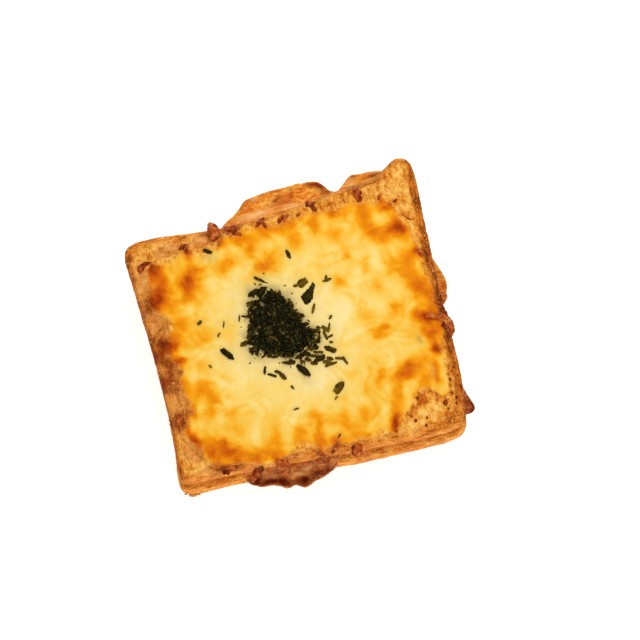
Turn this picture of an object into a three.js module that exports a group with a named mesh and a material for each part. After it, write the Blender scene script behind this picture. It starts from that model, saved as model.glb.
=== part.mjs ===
// Croque monsieur: two slices of square sandwich loaf, two slices of ham between them, a melted cheese
// topping on the upper slice and a heap of dried parsley near its middle.
//
// Millimetres. +X runs along the front crust, +Y towards the back crust and +Z up. The origin lies on the
// surface that the sandwich rests on, under the middle of its bounding box.

import * as THREE from "three";
import { LoftGeometry } from "three/addons/geometries/LoftGeometry.js";

const { euclideanModulo, lerp, smoothstep } = THREE.MathUtils;

// Driving dimensions.
const SLICE_THICKNESS = 12.5;
const HAM_THICKNESS = 1.8;
const CHEESE_THICKNESS = 2.6;
const PARSLEY_THICKNESS = 2.8;
const LAYER_GAP = 0.3; // air between two layers that touch

// Heights at which the layers start.
const HAM_BACK_BASE = SLICE_THICKNESS + LAYER_GAP;
const HAM_FRONT_BASE = HAM_BACK_BASE + HAM_THICKNESS + LAYER_GAP;
const UPPER_SLICE_BASE = HAM_FRONT_BASE + HAM_THICKNESS + LAYER_GAP;

// Outlines. Each is a closed curve through points that run counterclockwise from the front left corner.
// The upper slice is drawn in at the back, so that its back right corner stands out like an ear.
const UPPER_EDGE = [
  at(-64.6, -50), at(-64.1, -52.6), at(-61.5, -53.6), // front left corner
  at(-45, -54.4), at(-15, -56.3), at(15, -58.2), at(38, -59.6), at(50, -59.9), // front
  at(56.4, -59), at(59.4, -56), at(60.6, -50), // front right corner
  at(62.4, -43), at(63.2, -34), at(63.5, -20), at(63.7, -5), at(64.6, 15), at(65.3, 32), at(66.2, 47), // right
  at(66, 55), at(65, 58.9), at(62.3, 60.9), at(59.8, 61.3), // back right corner
  at(56.9, 60.8), at(54.4, 58), at(52, 56.2), at(47, 55.2), at(30, 54.1), // back
  at(10, 51.5), at(-10, 50.5), at(-29, 51), at(-42, 52.4), at(-53, 53.5), at(-60, 52.9),
  at(-63.6, 51.2), at(-64.8, 48.4), // back left corner
  at(-64.5, 36), at(-63.8, 18), at(-63.2, 2), at(-63, -14), at(-63.2, -28), at(-64, -41), // left
];
const LOWER_EDGE = [
  at(-65.9, -50.4), at(-65.4, -54), at(-62.6, -55.7), // front left corner
  at(-45, -56.3), at(-20, -57.8), at(10, -60.8), at(30, -61.3), at(46, -61.5), // front
  at(55, -61.1), at(60, -59.2), at(62, -54.4), // front right corner
  at(62.2, -45), at(62.4, -25), at(62.8, 0), at(63.6, 25), at(64.2, 44), // right
  at(64.2, 52.5), at(62, 56.4), at(57, 57.2), // back right corner
  at(40, 55.6), at(15, 53), at(-10, 51.8), at(-35, 51.6), at(-52, 52), // back
  at(-60.5, 51.6), at(-63.4, 49), at(-63.7, 44), // back left corner
  at(-63, 25), at(-62.2, 5), at(-61.9, -15), at(-62.8, -32), at(-65.2, -43.6), // left
];
const HAM_BACK_EDGE = [
  at(-61, -50), at(-40, -51.6), at(-10, -53.4), at(20, -55.3), at(45, -56.8), at(54.5, -55.5), // front
  at(57.8, -50), at(59.6, -35), at(60.6, -15), at(61.8, -5), // right
  at(65, -2.4), at(68.1, 1.4), at(69, 5.4), at(68.7, 9.4), at(67.5, 13.4), at(65.8, 17.4), // right fold
  at(63.8, 21.4), at(62.6, 26), at(62.6, 38), at(62.6, 47), at(61.4, 54), // back right corner
  at(58.4, 57.8), at(54.6, 61.4), at(49.2, 63.2), at(43.8, 62.2), at(40.2, 63.8), at(37, 61), // small lobe
  at(34.4, 57.8), at(31.8, 57.8), // notch
  at(29.2, 59.4), at(27, 62.6), at(22.6, 65.2), at(14, 65.2), at(6, 65.4), at(-2, 64.8), at(-8, 63.6),
  at(-11.4, 60.4), at(-15, 58), at(-19, 55.6), at(-23, 51), at(-28, 48.2), // large lobe
  at(-45, 49.4), at(-56, 50), at(-61, 47.4), // back left corner
  at(-61.2, 30), at(-60.2, 5), at(-60, -20), at(-61.3, -42), // left
];
const HAM_FRONT_EDGE = [
  at(-61, -49.6), at(-46, -51.4), at(-39.5, -53.6), // front
  at(-36.4, -59.4), at(-32.4, -62), at(-28, -62.2), at(-24.4, -63), at(-21.4, -65.8), at(-17.8, -64.4),
  at(-14.2, -67), at(-10.2, -65.8), at(-6.4, -64.8), at(-2.4, -63.4), at(1.6, -61.4), at(5.5, -57), // lobe
  at(20, -55.8), at(42, -57), at(52, -56.6), // front
  at(60, -53.8), at(64.4, -53.4), at(66.2, -52), at(65.6, -48), // tip
  at(63.6, -42.6), at(62.8, -36), at(62.4, -29), at(61.6, -22), at(60.8, -15), // right
  at(61, 0), at(61.8, 15), at(62.6, 35), at(62.4, 47), at(58.6, 52.4), // back right corner
  at(45, 51.6), at(30, 50.4), at(8, 48.2), at(-12, 47.6), at(-29, 48.2), at(-45, 49.4), at(-56, 50), // back
  at(-61, 47.4), at(-61.2, 30), at(-60.2, 5), at(-60, -20), at(-61.3, -42), // left
];
// The cheese leaves the corners bare. On the right a drip hangs over the crust; a point's third number is
// how much lower than the plain face it lies.
const CHEESE_OUTLINE = [
  at(-50, -46.5), at(-44, -50), at(-36, -52.5), at(-29, -54), at(-20, -54.4), at(-12, -53.4), // front
  at(-5, -53.6), at(2, -55.6), at(10, -56.8), at(20, -56.6), at(28, -54.6), at(35, -50.6),
  at(41, -45.4), at(48, -43.4), at(55, -46), at(58, -42), at(58.6, -32), at(59, -24), // front right bay
  at(61.2, -19.6), at(64.8, -18.8, -3.4), at(66, -15, -3.6), at(64.4, -11.6, -2), at(62.2, -8), // drip
  at(62.8, 0), at(62, 9), at(60.8, 18), at(59, 26), at(58, 34), at(54, 41), // right
  at(47, 45.6), at(38, 49.4), at(28, 49.8), at(17, 48.8), at(4, 47.8), at(-10, 47.4), at(-20, 48.4), // back
  at(-27, 46.4), at(-34, 45.6), at(-41, 46.8), at(-49, 44.8), at(-56, 43.6),
  at(-58, 37), at(-57.4, 29), at(-57, 21), at(-54.4, 15), at(-57, 8), at(-57.2, 2), at(-55, -6), // left
  at(-55.6, -15), at(-54.6, -24), at(-56.8, -31), at(-55.4, -38), at(-51.2, -42),
];
const PARSLEY_OUTLINE = [
  at(-18.8, -8.9), at(-12.4, -10), at(-8.9, -12.2), at(-3.2, -14.1), at(0.8, -14.2), at(4.2, -11.6),
  at(7.4, -8.2), at(6.6, -5), at(3.4, -0.8), at(2, 3.4), at(0.2, 7), at(-0.2, 11), at(-1.6, 14),
  at(-5.5, 16.8), at(-11, 19), at(-16.4, 18.2), at(-17.4, 14), at(-18.4, 9.5), at(-19.4, 5),
  at(-21, 1.5), at(-22.4, -3.6), at(-21.6, -7.2),
];
const POINTS_PER_SPAN = 3;

// The loaf.
const CRUST_PROFILE = [
  { inset: 3, rise: 0 },
  { inset: 0.7, rise: 0.06 },
  { inset: 0, rise: 0.24 },
  { inset: 0, rise: 0.76 },
  { inset: 0.7, rise: 0.94 },
  { inset: 3, rise: 1 },
];
const CRUMB_SINK = 1.1; // toasted crumb lies this far under the crust's rim
const CRUMB_SINK_WIDTH = 11;
const CORNER_CURL = 1.6; // the corners have dried and lifted
const CURL_STARTS = 70;
const CURL_ENDS = 90;
const FACE_RING_SHARES = [0.45, 0.75];
const FACE_RING_INSETS = [11, 7];

// The ham. Where its edge stands free of the bread, it sags and ruffles.
const HAM_DROOP = 1.2;
const HAM_BACK_RUFFLE = { height: 0.5, length: 12 };
const HAM_FRONT_RUFFLE = { height: 1.3, length: 7.4 };
const HAM_RING_SHARES = [0, 0.6];

// The cheese.
const CHEESE_RING_SHARES = [0, 0.35, 0.7, 0.82, 0.92];
const CHEESE_RIM = 1; // thickness of the cheese where it ends
const CHEESE_TAPER = 9; // width over which it reaches its full thickness
const SWELL_HEIGHT = 0.35;
const SWELL_LENGTH = 26;
const POOL_RADIUS = 24; // the middle, where the parsley lies, stays level

// The parsley.
const PARSLEY_CENTRE = at(-9, 1.5);
const PARSLEY_RIM = 0.7; // thickness of the heap where it ends
const PARSLEY_LUMP = 0.35;
const PARSLEY_RING_SHARES = [0, 0.4, 0.7, 0.92];

const RIM_MARGIN = 1.5; // a sheet is held this far inside the bread's edge

function at(x, y, z = 0) {
  return new THREE.Vector3(x, y, z);
}

/** A closed outline that every ray from its centre crosses once. Its points' z is their lift. */
class Outline {
  constructor(edge, centre = at(0, 0)) {
    const curve = new THREE.CatmullRomCurve3(edge, true);
    this.centre = centre;
    this.points = curve.getPoints(POINTS_PER_SPAN * edge.length).slice(1); // the last repeats the first
    this.polar = this.points
      .map((p) => ({ angle: this.angle(p.x, p.y), radius: this.radius(p.x, p.y) }))
      .sort((a, b) => a.angle - b.angle);
  }

  /** Direction of (x, y) from the centre. */
  angle(x, y) {
    return Math.atan2(y - this.centre.y, x - this.centre.x);
  }

  /** Distance of (x, y) from the centre. */
  radius(x, y) {
    return Math.hypot(x - this.centre.x, y - this.centre.y);
  }

  /** Distance from the centre to the outline in one direction. */
  reach(angle) {
    const above = this.polar.findIndex((p) => p.angle > angle);
    const after = this.polar[Math.max(above, 0)];
    const before = this.polar.at(above < 0 ? -1 : above - 1);
    const span = euclideanModulo(after.angle - before.angle, 2 * Math.PI);
    const part = euclideanModulo(angle - before.angle, 2 * Math.PI);
    return lerp(before.radius, after.radius, part / span);
  }

  /** How far (x, y) lies inside the outline; negative outside. */
  depth(x, y) {
    return this.reach(this.angle(x, y)) - this.radius(x, y);
  }

  /** A ring of points on the rays to the outline, at radiusOf(point) and height(x, y, point). */
  ring(radiusOf, height) {
    return this.points.map((p) => {
      const away = new THREE.Vector2(p.x - this.centre.x, p.y - this.centre.y).setLength(radiusOf(p));
      const x = this.centre.x + away.x;
      const y = this.centre.y + away.y;
      return at(x, y, height(x, y, p));
    });
  }
}

/** Lift the points of an outline in waves that run along it. */
function ruffled(outline, { height, length }) {
  let along = 0;
  outline.points.forEach((p, i) => {
    along += Math.hypot(p.x - outline.points.at(i - 1).x, p.y - outline.points.at(i - 1).y);
    p.z = height * Math.cos((2 * Math.PI * along) / length);
  });
  return outline;
}

const upperLoaf = new Outline(UPPER_EDGE);
const lowerLoaf = new Outline(LOWER_EDGE);
const hamBack = ruffled(new Outline(HAM_BACK_EDGE), HAM_BACK_RUFFLE);
const hamFront = ruffled(new Outline(HAM_FRONT_EDGE), HAM_FRONT_RUFFLE);
const cheese = new Outline(CHEESE_OUTLINE);
const parsley = new Outline(PARSLEY_OUTLINE, PARSLEY_CENTRE);

/** Top face of the upper slice: the crumb lies under the rim and the corners curl up. */
function upperSliceTop(x, y) {
  const sink = CRUMB_SINK * smoothstep(upperLoaf.depth(x, y), 1, CRUMB_SINK_WIDTH);
  const curl = CORNER_CURL * smoothstep(Math.hypot(x, y), CURL_STARTS, CURL_ENDS);
  return UPPER_SLICE_BASE + SLICE_THICKNESS - sink + curl;
}

/** Underside of the cheese. */
function cheeseBase(x, y) {
  return upperSliceTop(x, y) + LAYER_GAP;
}

/** Top face of the cheese: it thins towards its edge and swells round the level middle. */
function cheeseTop(x, y) {
  const body = smoothstep(cheese.depth(x, y), 0, CHEESE_TAPER);
  const away = smoothstep(cheese.radius(x, y), POOL_RADIUS, 2 * POOL_RADIUS);
  const swell = Math.sin((2 * Math.PI * x) / SWELL_LENGTH) * Math.cos((2 * Math.PI * y) / SWELL_LENGTH);
  return cheeseBase(x, y) + lerp(CHEESE_RIM, CHEESE_THICKNESS, body) + SWELL_HEIGHT * swell * away * body;
}

/** Underside of the parsley. */
function parsleyBase(x, y) {
  return cheeseTop(x, y) + LAYER_GAP;
}

/** Top face of the parsley: highest in the middle, and lumpy. */
function parsleyTop(x, y) {
  const share = parsley.radius(x, y) / parsley.reach(parsley.angle(x, y));
  const lump = PARSLEY_LUMP * Math.sin(x * 1.1) * Math.cos(y * 1.3) * (1 - share);
  return parsleyBase(x, y) + lerp(PARSLEY_THICKNESS, PARSLEY_RIM, share ** 2) + lump;
}

/** A slice of loaf between two faces, with a crust that rounds over at both rims. */
function sliceGeometry(outline, base, top, ringShares, ringInsets) {
  const full = (p) => outline.radius(p.x, p.y);
  const face = [
    ...[0, ...ringShares].map((share) => (p) => share * full(p)),
    ...ringInsets.map((inset) => (p) => full(p) - inset),
  ];
  return new LoftGeometry([
    ...face.map((radius) => outline.ring(radius, base)),
    ...CRUST_PROFILE.map(({ inset, rise }) =>
      outline.ring((p) => full(p) - inset, (x, y) => lerp(base(x, y), top(x, y), rise))),
    ...face.toReversed().map((radius) => outline.ring(radius, top)),
  ]);
}

/**
 * A limp sheet that lies between base and top as far as the edges of the loaves. Beyond them it sags by
 * droop, and its free edge follows the lift of the outline.
 */
function sheetGeometry(outline, loaves, ringShares, base, top, droop) {
  const full = (p) => outline.radius(p.x, p.y);
  const held = (p) => {
    const beyond = Math.max(0, ...loaves.map((loaf) => -loaf.depth(p.x, p.y)));
    return full(p) - beyond - RIM_MARGIN;
  };
  const hang = (x, y, p) => {
    const free = (outline.radius(x, y) - held(p)) / (full(p) - held(p));
    const overhang = smoothstep(full(p) - held(p), RIM_MARGIN, 3 * RIM_MARGIN);
    return smoothstep(free, 0, 1) * (p.z - droop) * overhang;
  };
  const under = (x, y, p) => base(x, y) + hang(x, y, p);
  const over = (x, y, p) => top(x, y) + hang(x, y, p);
  const face = [
    ...ringShares.map((share) => (p) => share * held(p)),
    held,
    (p) => lerp(held(p), full(p), 0.5),
    (p) => full(p) - 0.2 * RIM_MARGIN,
  ];
  return new LoftGeometry([
    ...face.map((radius) => outline.ring(radius, under)),
    outline.ring(full, (x, y, p) => lerp(under(x, y, p), over(x, y, p), 0.5)),
    ...face.toReversed().map((radius) => outline.ring(radius, over)),
  ]);
}

/** A heap between two faces that meet at its outline. */
function heapGeometry(outline, base, top) {
  const full = (p) => outline.radius(p.x, p.y);
  const face = PARSLEY_RING_SHARES.map((share) => (p) => share * full(p));
  return new LoftGeometry([
    ...face.map((radius) => outline.ring(radius, base)),
    outline.ring(full, (x, y) => lerp(base(x, y), top(x, y), 0.5)),
    ...face.toReversed().map((radius) => outline.ring(radius, top)),
  ]);
}

function piece(name, geometry, color, roughness) {
  const material = new THREE.MeshStandardMaterial({ color, roughness, metalness: 0 });
  const mesh = new THREE.Mesh(geometry, material);
  mesh.name = name;
  return mesh;
}

function breadBottom() {
  const geometry = sliceGeometry(lowerLoaf, () => 0, () => SLICE_THICKNESS, [], []);
  return piece("bread_bottom", geometry, 0xc98340, 0.85);
}

function hamSlice(name, outline, height, color) {
  const base = () => height;
  const top = () => height + HAM_THICKNESS;
  const loaves = [lowerLoaf, upperLoaf];
  const geometry = sheetGeometry(outline, loaves, HAM_RING_SHARES, base, top, HAM_DROOP);
  return piece(name, geometry, color, 0.45);
}

function breadTop() {
  const base = () => UPPER_SLICE_BASE;
  const geometry = sliceGeometry(upperLoaf, base, upperSliceTop, FACE_RING_SHARES, FACE_RING_INSETS);
  return piece("bread_top", geometry, 0xd8954c, 0.85);
}

function cheeseTopping() {
  const geometry = sheetGeometry(cheese, [upperLoaf], CHEESE_RING_SHARES, cheeseBase, cheeseTop, 0);
  return piece("cheese_topping", geometry, 0xf5c25a, 0.35);
}

function parsleyHeap() {
  return piece("parsley_heap", heapGeometry(parsley, parsleyBase, parsleyTop), 0x2e3016, 0.8);
}

const stack = new THREE.Group();
stack.add(
  breadBottom(),
  hamSlice("ham_back", hamBack, HAM_BACK_BASE, 0xc87850),
  hamSlice("ham_front", hamFront, HAM_FRONT_BASE, 0xb4623c),
  breadTop(),
  cheeseTopping(),
  parsleyHeap(),
);

// The stack is moved so that the middle of its footprint is the origin.
const bounds = new THREE.Box3().setFromObject(stack, true);
const middle = bounds.getCenter(new THREE.Vector3());
stack.position.set(-middle.x, -middle.y, -bounds.min.z);

const croqueMonsieur = new THREE.Group();
croqueMonsieur.add(stack);

export default croqueMonsieur;
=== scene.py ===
"""A croque monsieur: two slices of sandwich loaf, two of ham, browned cheese and dried parsley."""

import itertools
import logging
import math
from collections.abc import Callable, Sequence
from dataclasses import dataclass, field
from enum import Enum
from functools import cached_property

import bmesh
import bpy
import numpy as np
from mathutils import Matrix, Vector


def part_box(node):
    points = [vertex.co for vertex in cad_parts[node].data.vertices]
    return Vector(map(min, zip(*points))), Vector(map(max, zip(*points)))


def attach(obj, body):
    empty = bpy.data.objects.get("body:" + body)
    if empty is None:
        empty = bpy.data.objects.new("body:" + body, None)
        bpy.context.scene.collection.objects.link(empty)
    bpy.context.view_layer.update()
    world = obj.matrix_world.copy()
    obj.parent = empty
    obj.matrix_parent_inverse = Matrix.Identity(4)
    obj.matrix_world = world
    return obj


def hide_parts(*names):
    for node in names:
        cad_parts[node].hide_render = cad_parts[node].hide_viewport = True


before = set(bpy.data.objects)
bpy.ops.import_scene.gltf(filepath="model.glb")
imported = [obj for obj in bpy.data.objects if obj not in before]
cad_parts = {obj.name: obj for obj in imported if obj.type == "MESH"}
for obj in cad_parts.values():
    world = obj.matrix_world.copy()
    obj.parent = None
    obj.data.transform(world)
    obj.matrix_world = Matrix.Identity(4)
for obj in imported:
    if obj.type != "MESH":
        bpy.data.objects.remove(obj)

Array = np.ndarray
Colour = tuple[float, float, float, float]

MM = 0.001
SLICE_THICKNESS = 12.5
HAM_THICKNESS = 1.8
LAYER_GAP = 0.3
LOAF_MIDDLE_OFFSET = (-0.63, -0.68)  # from the middle of the upper slice's box to the loaf's middle

log = logging.getLogger("croque_monsieur")


def srgb(red: int, green: int, blue: int) -> Colour:
    """Turn a colour of 0 to 255 a channel into the linear values that shaders take.

    Args:
        red: The red channel.
        green: The green channel.
        blue: The blue channel.

    Returns:
        The linear colour with full opacity.
    """
    linear = [
        (c / 255 / 12.92 if c <= 10 else ((c / 255 + 0.055) / 1.055) ** 2.4) for c in (red, green, blue)
    ]
    return (linear[0], linear[1], linear[2], 1.0)


def ease(value: Array | float, start: float, end: float) -> Array:
    """Rise smoothly from 0 at start to 1 at end, which may be the smaller of the two."""
    share = np.clip((np.asarray(value, float) - start) / (end - start), 0.0, 1.0)
    return share * share * (3 - 2 * share)


def blend(first: Array | float, second: Array | float, share: Array | float) -> Array:
    """Move from first to second as share goes from 0 to 1."""
    return first + (second - first) * share


def level(x: Array, y: Array) -> Array:
    """Put places at height 0, for noise that doesn't change with height."""
    return np.stack([x, y, 0 * x], -1)


class Grain:
    """Repeatable noise over points in millimetres."""

    @staticmethod
    def scatter(cells: Array, seed: int) -> Array:
        """Give each whole-numbered cell its own value.

        Args:
            cells: Whole numbers of shape (..., 3).
            seed: Which set of values to draw.

        Returns:
            Values from 0 to 1.
        """
        parts = cells.astype(np.uint64)
        mixed = parts[..., 0] * np.uint64(73856093)
        mixed = mixed ^ (parts[..., 1] * np.uint64(19349663))
        mixed = mixed ^ (parts[..., 2] * np.uint64(83492791))
        mixed = (mixed ^ np.uint64(seed * 2654435761 % 2**32)) & np.uint64(0xFFFFFFFF)
        for shift, factor in ((15, 2246822519), (13, 3266489917)):
            mixed = ((mixed ^ (mixed >> np.uint64(shift))) * np.uint64(factor)) & np.uint64(0xFFFFFFFF)
        return (mixed ^ (mixed >> np.uint64(16))) / 4294967295.0

    @classmethod
    def smooth(cls, points: Array, size: float | Sequence[float], seed: int = 0) -> Array:
        """Make soft lumps of about a size.

        Args:
            points: Places of shape (..., 3).
            size: Width of a lump, for all axes or for each of them.
            seed: Which noise to draw.

        Returns:
            Values from about -1 to 1.
        """
        scaled = points / np.asarray(size, float)
        cell = np.floor(scaled).astype(np.int64)
        part = scaled - cell
        fade = part**3 * (part * (part * 6 - 15) + 10)
        total = np.zeros(points.shape[:-1])
        for corner in itertools.product((0, 1), repeat=3):
            at = cell + np.array(corner)
            away = part - np.array(corner)
            pull = np.zeros_like(total)
            weight = np.ones_like(total)
            for axis, side in enumerate(corner):
                pull += (cls.scatter(at, 3 * seed + axis) * 2 - 1) * away[..., axis]
                weight *= fade[..., axis] if side else 1 - fade[..., axis]
            total += pull * weight
        return total * 1.7

    @classmethod
    def rough(
        cls, points: Array, size: float | Sequence[float], octaves: int, seed: int = 0
    ) -> Array:
        """Add ever finer lumps together.

        Args:
            points: Places of shape (..., 3).
            size: Width of the largest lumps.
            octaves: How many sizes there are, each half as wide as the one before.
            seed: Which noise to draw.

        Returns:
            Values from about -1 to 1.
        """
        sizes = [np.asarray(size, float) / 2**k for k in range(octaves)]
        layers = [cls.smooth(points, each, seed + 17 * k) / 2**k for k, each in enumerate(sizes)]
        return sum(layers) / (2 - 2 ** (1 - octaves))

    @classmethod
    def pits(
        cls,
        points: Array,
        size: float | Sequence[float],
        share: float,
        radius: tuple[float, float],
        seed: int = 0,
        flat: bool = False,
    ) -> Array:
        """Scatter round pits.

        Args:
            points: Places of shape (..., 3).
            size: Width of the cell that holds at most one pit.
            share: Share of the cells that hold a pit.
            radius: Smallest and largest radius of a pit, in cells.
            seed: Which pits to draw.
            flat: Whether the pits lie on a face, so that height doesn't count.

        Returns:
            0 between the pits, rising to 1 in the middle of each.
        """
        scaled = points / np.asarray(size, float)
        if flat:
            scaled = scaled * np.array([1.0, 1.0, 0.0])
        cell = np.floor(scaled).astype(np.int64)
        deepest = np.zeros(points.shape[:-1])
        for step in itertools.product((-1, 0, 1), (-1, 0, 1), (0,) if flat else (-1, 0, 1)):
            at = cell + np.array(step)
            middle = [at[..., axis] + cls.scatter(at, seed + 11 * axis) for axis in range(3)]
            if flat:
                middle[2] = np.zeros_like(deepest)
            away = np.sqrt(sum((scaled[..., axis] - middle[axis]) ** 2 for axis in range(3)))
            here = cls.scatter(at, seed + 101) < share
            reach = blend(radius[0], radius[1], cls.scatter(at, seed + 211))
            deepest = np.maximum(deepest, here * (1 - ease(away / reach, 0.0, 1.0)))
        return deepest


@dataclass
class Outline:
    """How far a layer reaches from a middle in each direction, and how high its rim lies there."""

    middle: Array
    reach_steps: Array
    rim_steps: Array

    STEPS = 1440
    EDGE_SAMPLES = 48
    RIM_POINTS = 1800
    MAP_HALF = 80.0
    MAP_STEP = 0.5

    @classmethod
    def of_node(cls, node: str, middle: Array, blur: float) -> "Outline":
        """Measure the outline of a CAD node.

        Args:
            node: The node's name.
            middle: The point that the outline is measured from, in millimetres.
            blur: Width over which small corners are softened, in steps.

        Returns:
            The outline.
        """
        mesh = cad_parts[node].data
        spots = np.empty(len(mesh.vertices) * 3)
        mesh.vertices.foreach_get("co", spots)
        spots = spots.reshape(-1, 3) / MM
        ends = np.empty(len(mesh.edges) * 2, np.int64)
        mesh.edges.foreach_get("vertices", ends)
        ends = ends.reshape(-1, 2)
        share = np.linspace(0, 1, cls.EDGE_SAMPLES)[:, None, None]
        along = blend(spots[ends[:, 0]], spots[ends[:, 1]], share).reshape(-1, 3)
        away = along[:, :2] - middle
        angle = np.arctan2(away[:, 1], away[:, 0])
        radius = np.hypot(away[:, 0], away[:, 1])
        order = np.argsort(radius)
        step = ((angle + math.pi) / (2 * math.pi) * cls.STEPS).astype(int) % cls.STEPS
        reach = np.zeros(cls.STEPS)
        rim = np.zeros(cls.STEPS)
        reach[step[order]] = radius[order]
        rim[step[order]] = along[order, 2]
        return cls(middle, cls.soften(reach, blur), cls.soften(rim, blur))

    @staticmethod
    def soften(values: Array, blur: float) -> Array:
        """Blur a closed run of values by a width in steps."""
        turns = np.fft.rfftfreq(len(values))
        return np.fft.irfft(np.fft.rfft(values) * np.exp(-2 * (np.pi * turns * blur) ** 2), len(values))

    def read(self, values: Array, angle: Array) -> Array:
        """Read one of the outline's runs of values in any direction."""
        steps = (np.arange(self.STEPS) + 0.5) / self.STEPS * 2 * math.pi - math.pi
        return np.interp(angle, steps, values, period=2 * math.pi)

    def reach(self, angle: Array) -> Array:
        """Distance from the middle to the rim."""
        return self.read(self.reach_steps, angle)

    def rim(self, angle: Array) -> Array:
        """Height of the rim."""
        return self.read(self.rim_steps, angle)

    @cached_property
    def turns(self) -> Array:
        """Divide the rim into equal lengths.

        Returns:
            The directions of the places that divide it.
        """
        angle = np.linspace(-math.pi, math.pi, self.STEPS + 1)
        x, y = self.reach(angle) * np.cos(angle), self.reach(angle) * np.sin(angle)
        run = np.concatenate([[0.0], np.cumsum(np.hypot(np.diff(x), np.diff(y)))])
        return np.interp(np.linspace(0, run[-1], self.RIM_POINTS + 1), run, angle)

    def directions(self, count: int) -> Array:
        """Choose a row of directions whose places on the rim are equally far apart."""
        share = np.arange(count) / count
        return np.interp(share, np.linspace(0, 1, len(self.turns)), self.turns)[None, :]

    def facing(self, angle: Array) -> tuple[Array, Array]:
        """Give the level direction that the rim faces.

        Args:
            angle: Directions from the middle.

        Returns:
            The X and Y parts of the rim's outward direction.
        """
        turn = 4 * math.pi / self.STEPS
        slope = (self.reach(angle + turn) - self.reach(angle - turn)) / (2 * turn)
        reach = self.reach(angle)
        length = np.hypot(reach, slope)
        out_x = (slope * np.sin(angle) + reach * np.cos(angle)) / length
        out_y = (reach * np.sin(angle) - slope * np.cos(angle)) / length
        return out_x, out_y

    @cached_property
    def depth_map(self) -> Array:
        """Measure how far the places of a square grid lie inside the rim.

        Returns:
            The distances, negative outside.
        """
        at = np.arange(-self.MAP_HALF, self.MAP_HALF + self.MAP_STEP, self.MAP_STEP)
        x, y = np.meshgrid(at, at, indexing="ij")
        nearest = np.full(x.shape, np.inf)
        turns = self.turns[::2]
        reach = self.reach(turns)
        for rim_x, rim_y in zip(reach * np.cos(turns), reach * np.sin(turns)):
            np.minimum(nearest, (x - rim_x) ** 2 + (y - rim_y) ** 2, out=nearest)
        inside = np.hypot(x, y) < self.reach(np.arctan2(y, x))
        return np.where(inside, 1.0, -1.0) * np.sqrt(nearest)

    def depth(self, x: Array, y: Array) -> Array:
        """How far places lie inside the rim, square to it.

        Args:
            x: Places along X from the loaf's middle.
            y: Places along Y from the loaf's middle.

        Returns:
            The depth, which is negative outside.
        """
        last = self.depth_map.shape[0] - 1.001
        column = np.clip((np.asarray(x) + self.MAP_HALF) / self.MAP_STEP, 0, last)
        row = np.clip((np.asarray(y) + self.MAP_HALF) / self.MAP_STEP, 0, last)
        i, j = column.astype(int), row.astype(int)
        near = blend(self.depth_map[i, j], self.depth_map[i + 1, j], column - i)
        far = blend(self.depth_map[i, j + 1], self.depth_map[i + 1, j + 1], column - i)
        return blend(near, far, row - j)


@dataclass
class Layout:
    """The outlines and heights that the layers share, in millimetres round the loaf's middle."""

    middle: Array = field(init=False)
    upper: Outline = field(init=False)
    lower: Outline = field(init=False)
    heap: Outline = field(init=False)
    heap_middle: Array = field(init=False)
    upper_base: float = field(init=False)
    crumb_sink: float = 1.1
    sink_width: tuple[float, float] = (1.5, 11.0)
    curl: float = 1.6
    curl_width: tuple[float, float] = (70.0, 90.0)
    ear: tuple[float, float] = (66.0, 60.0)  # the back right corner, which is lifted
    ear_rise: float = 1.4
    ear_width: tuple[float, float] = (24.0, 2.0)

    def __post_init__(self) -> None:
        """Measure the slices and the heap of parsley."""
        low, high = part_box("bread_top")
        centre = (np.array(low) + np.array(high)) / 2 / MM
        self.middle = centre[:2] + np.array(LOAF_MIDDLE_OFFSET)
        self.upper_base = low.z / MM
        self.upper = Outline.of_node("bread_top", self.middle, 3)
        self.lower = Outline.of_node("bread_bottom", self.middle, 3)
        low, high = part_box("parsley_heap")
        centre = (np.array(low) + np.array(high))[:2] / 2 / MM
        self.heap_middle = centre - self.middle
        self.heap = Outline.of_node("parsley_heap", centre, 5)

    def upper_face(self, x: Array, y: Array) -> Array:
        """Height of the upper slice's toasted face, without its grain.

        Args:
            x, y: The places.

        Returns:
            The heights.
        """
        sink = self.crumb_sink * ease(self.upper.depth(x, y), *self.sink_width)
        curl = self.curl * ease(np.hypot(x, y), *self.curl_width)
        lift = self.ear_rise * ease(np.hypot(x - self.ear[0], y - self.ear[1]), *self.ear_width)
        return self.upper_base + SLICE_THICKNESS - sink + curl + lift

    def beside_heap(self, x: Array, y: Array) -> Array:
        """How far places lie inside the heap of parsley, negative outside."""
        return self.heap.depth(x - self.heap_middle[0], y - self.heap_middle[1])


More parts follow.
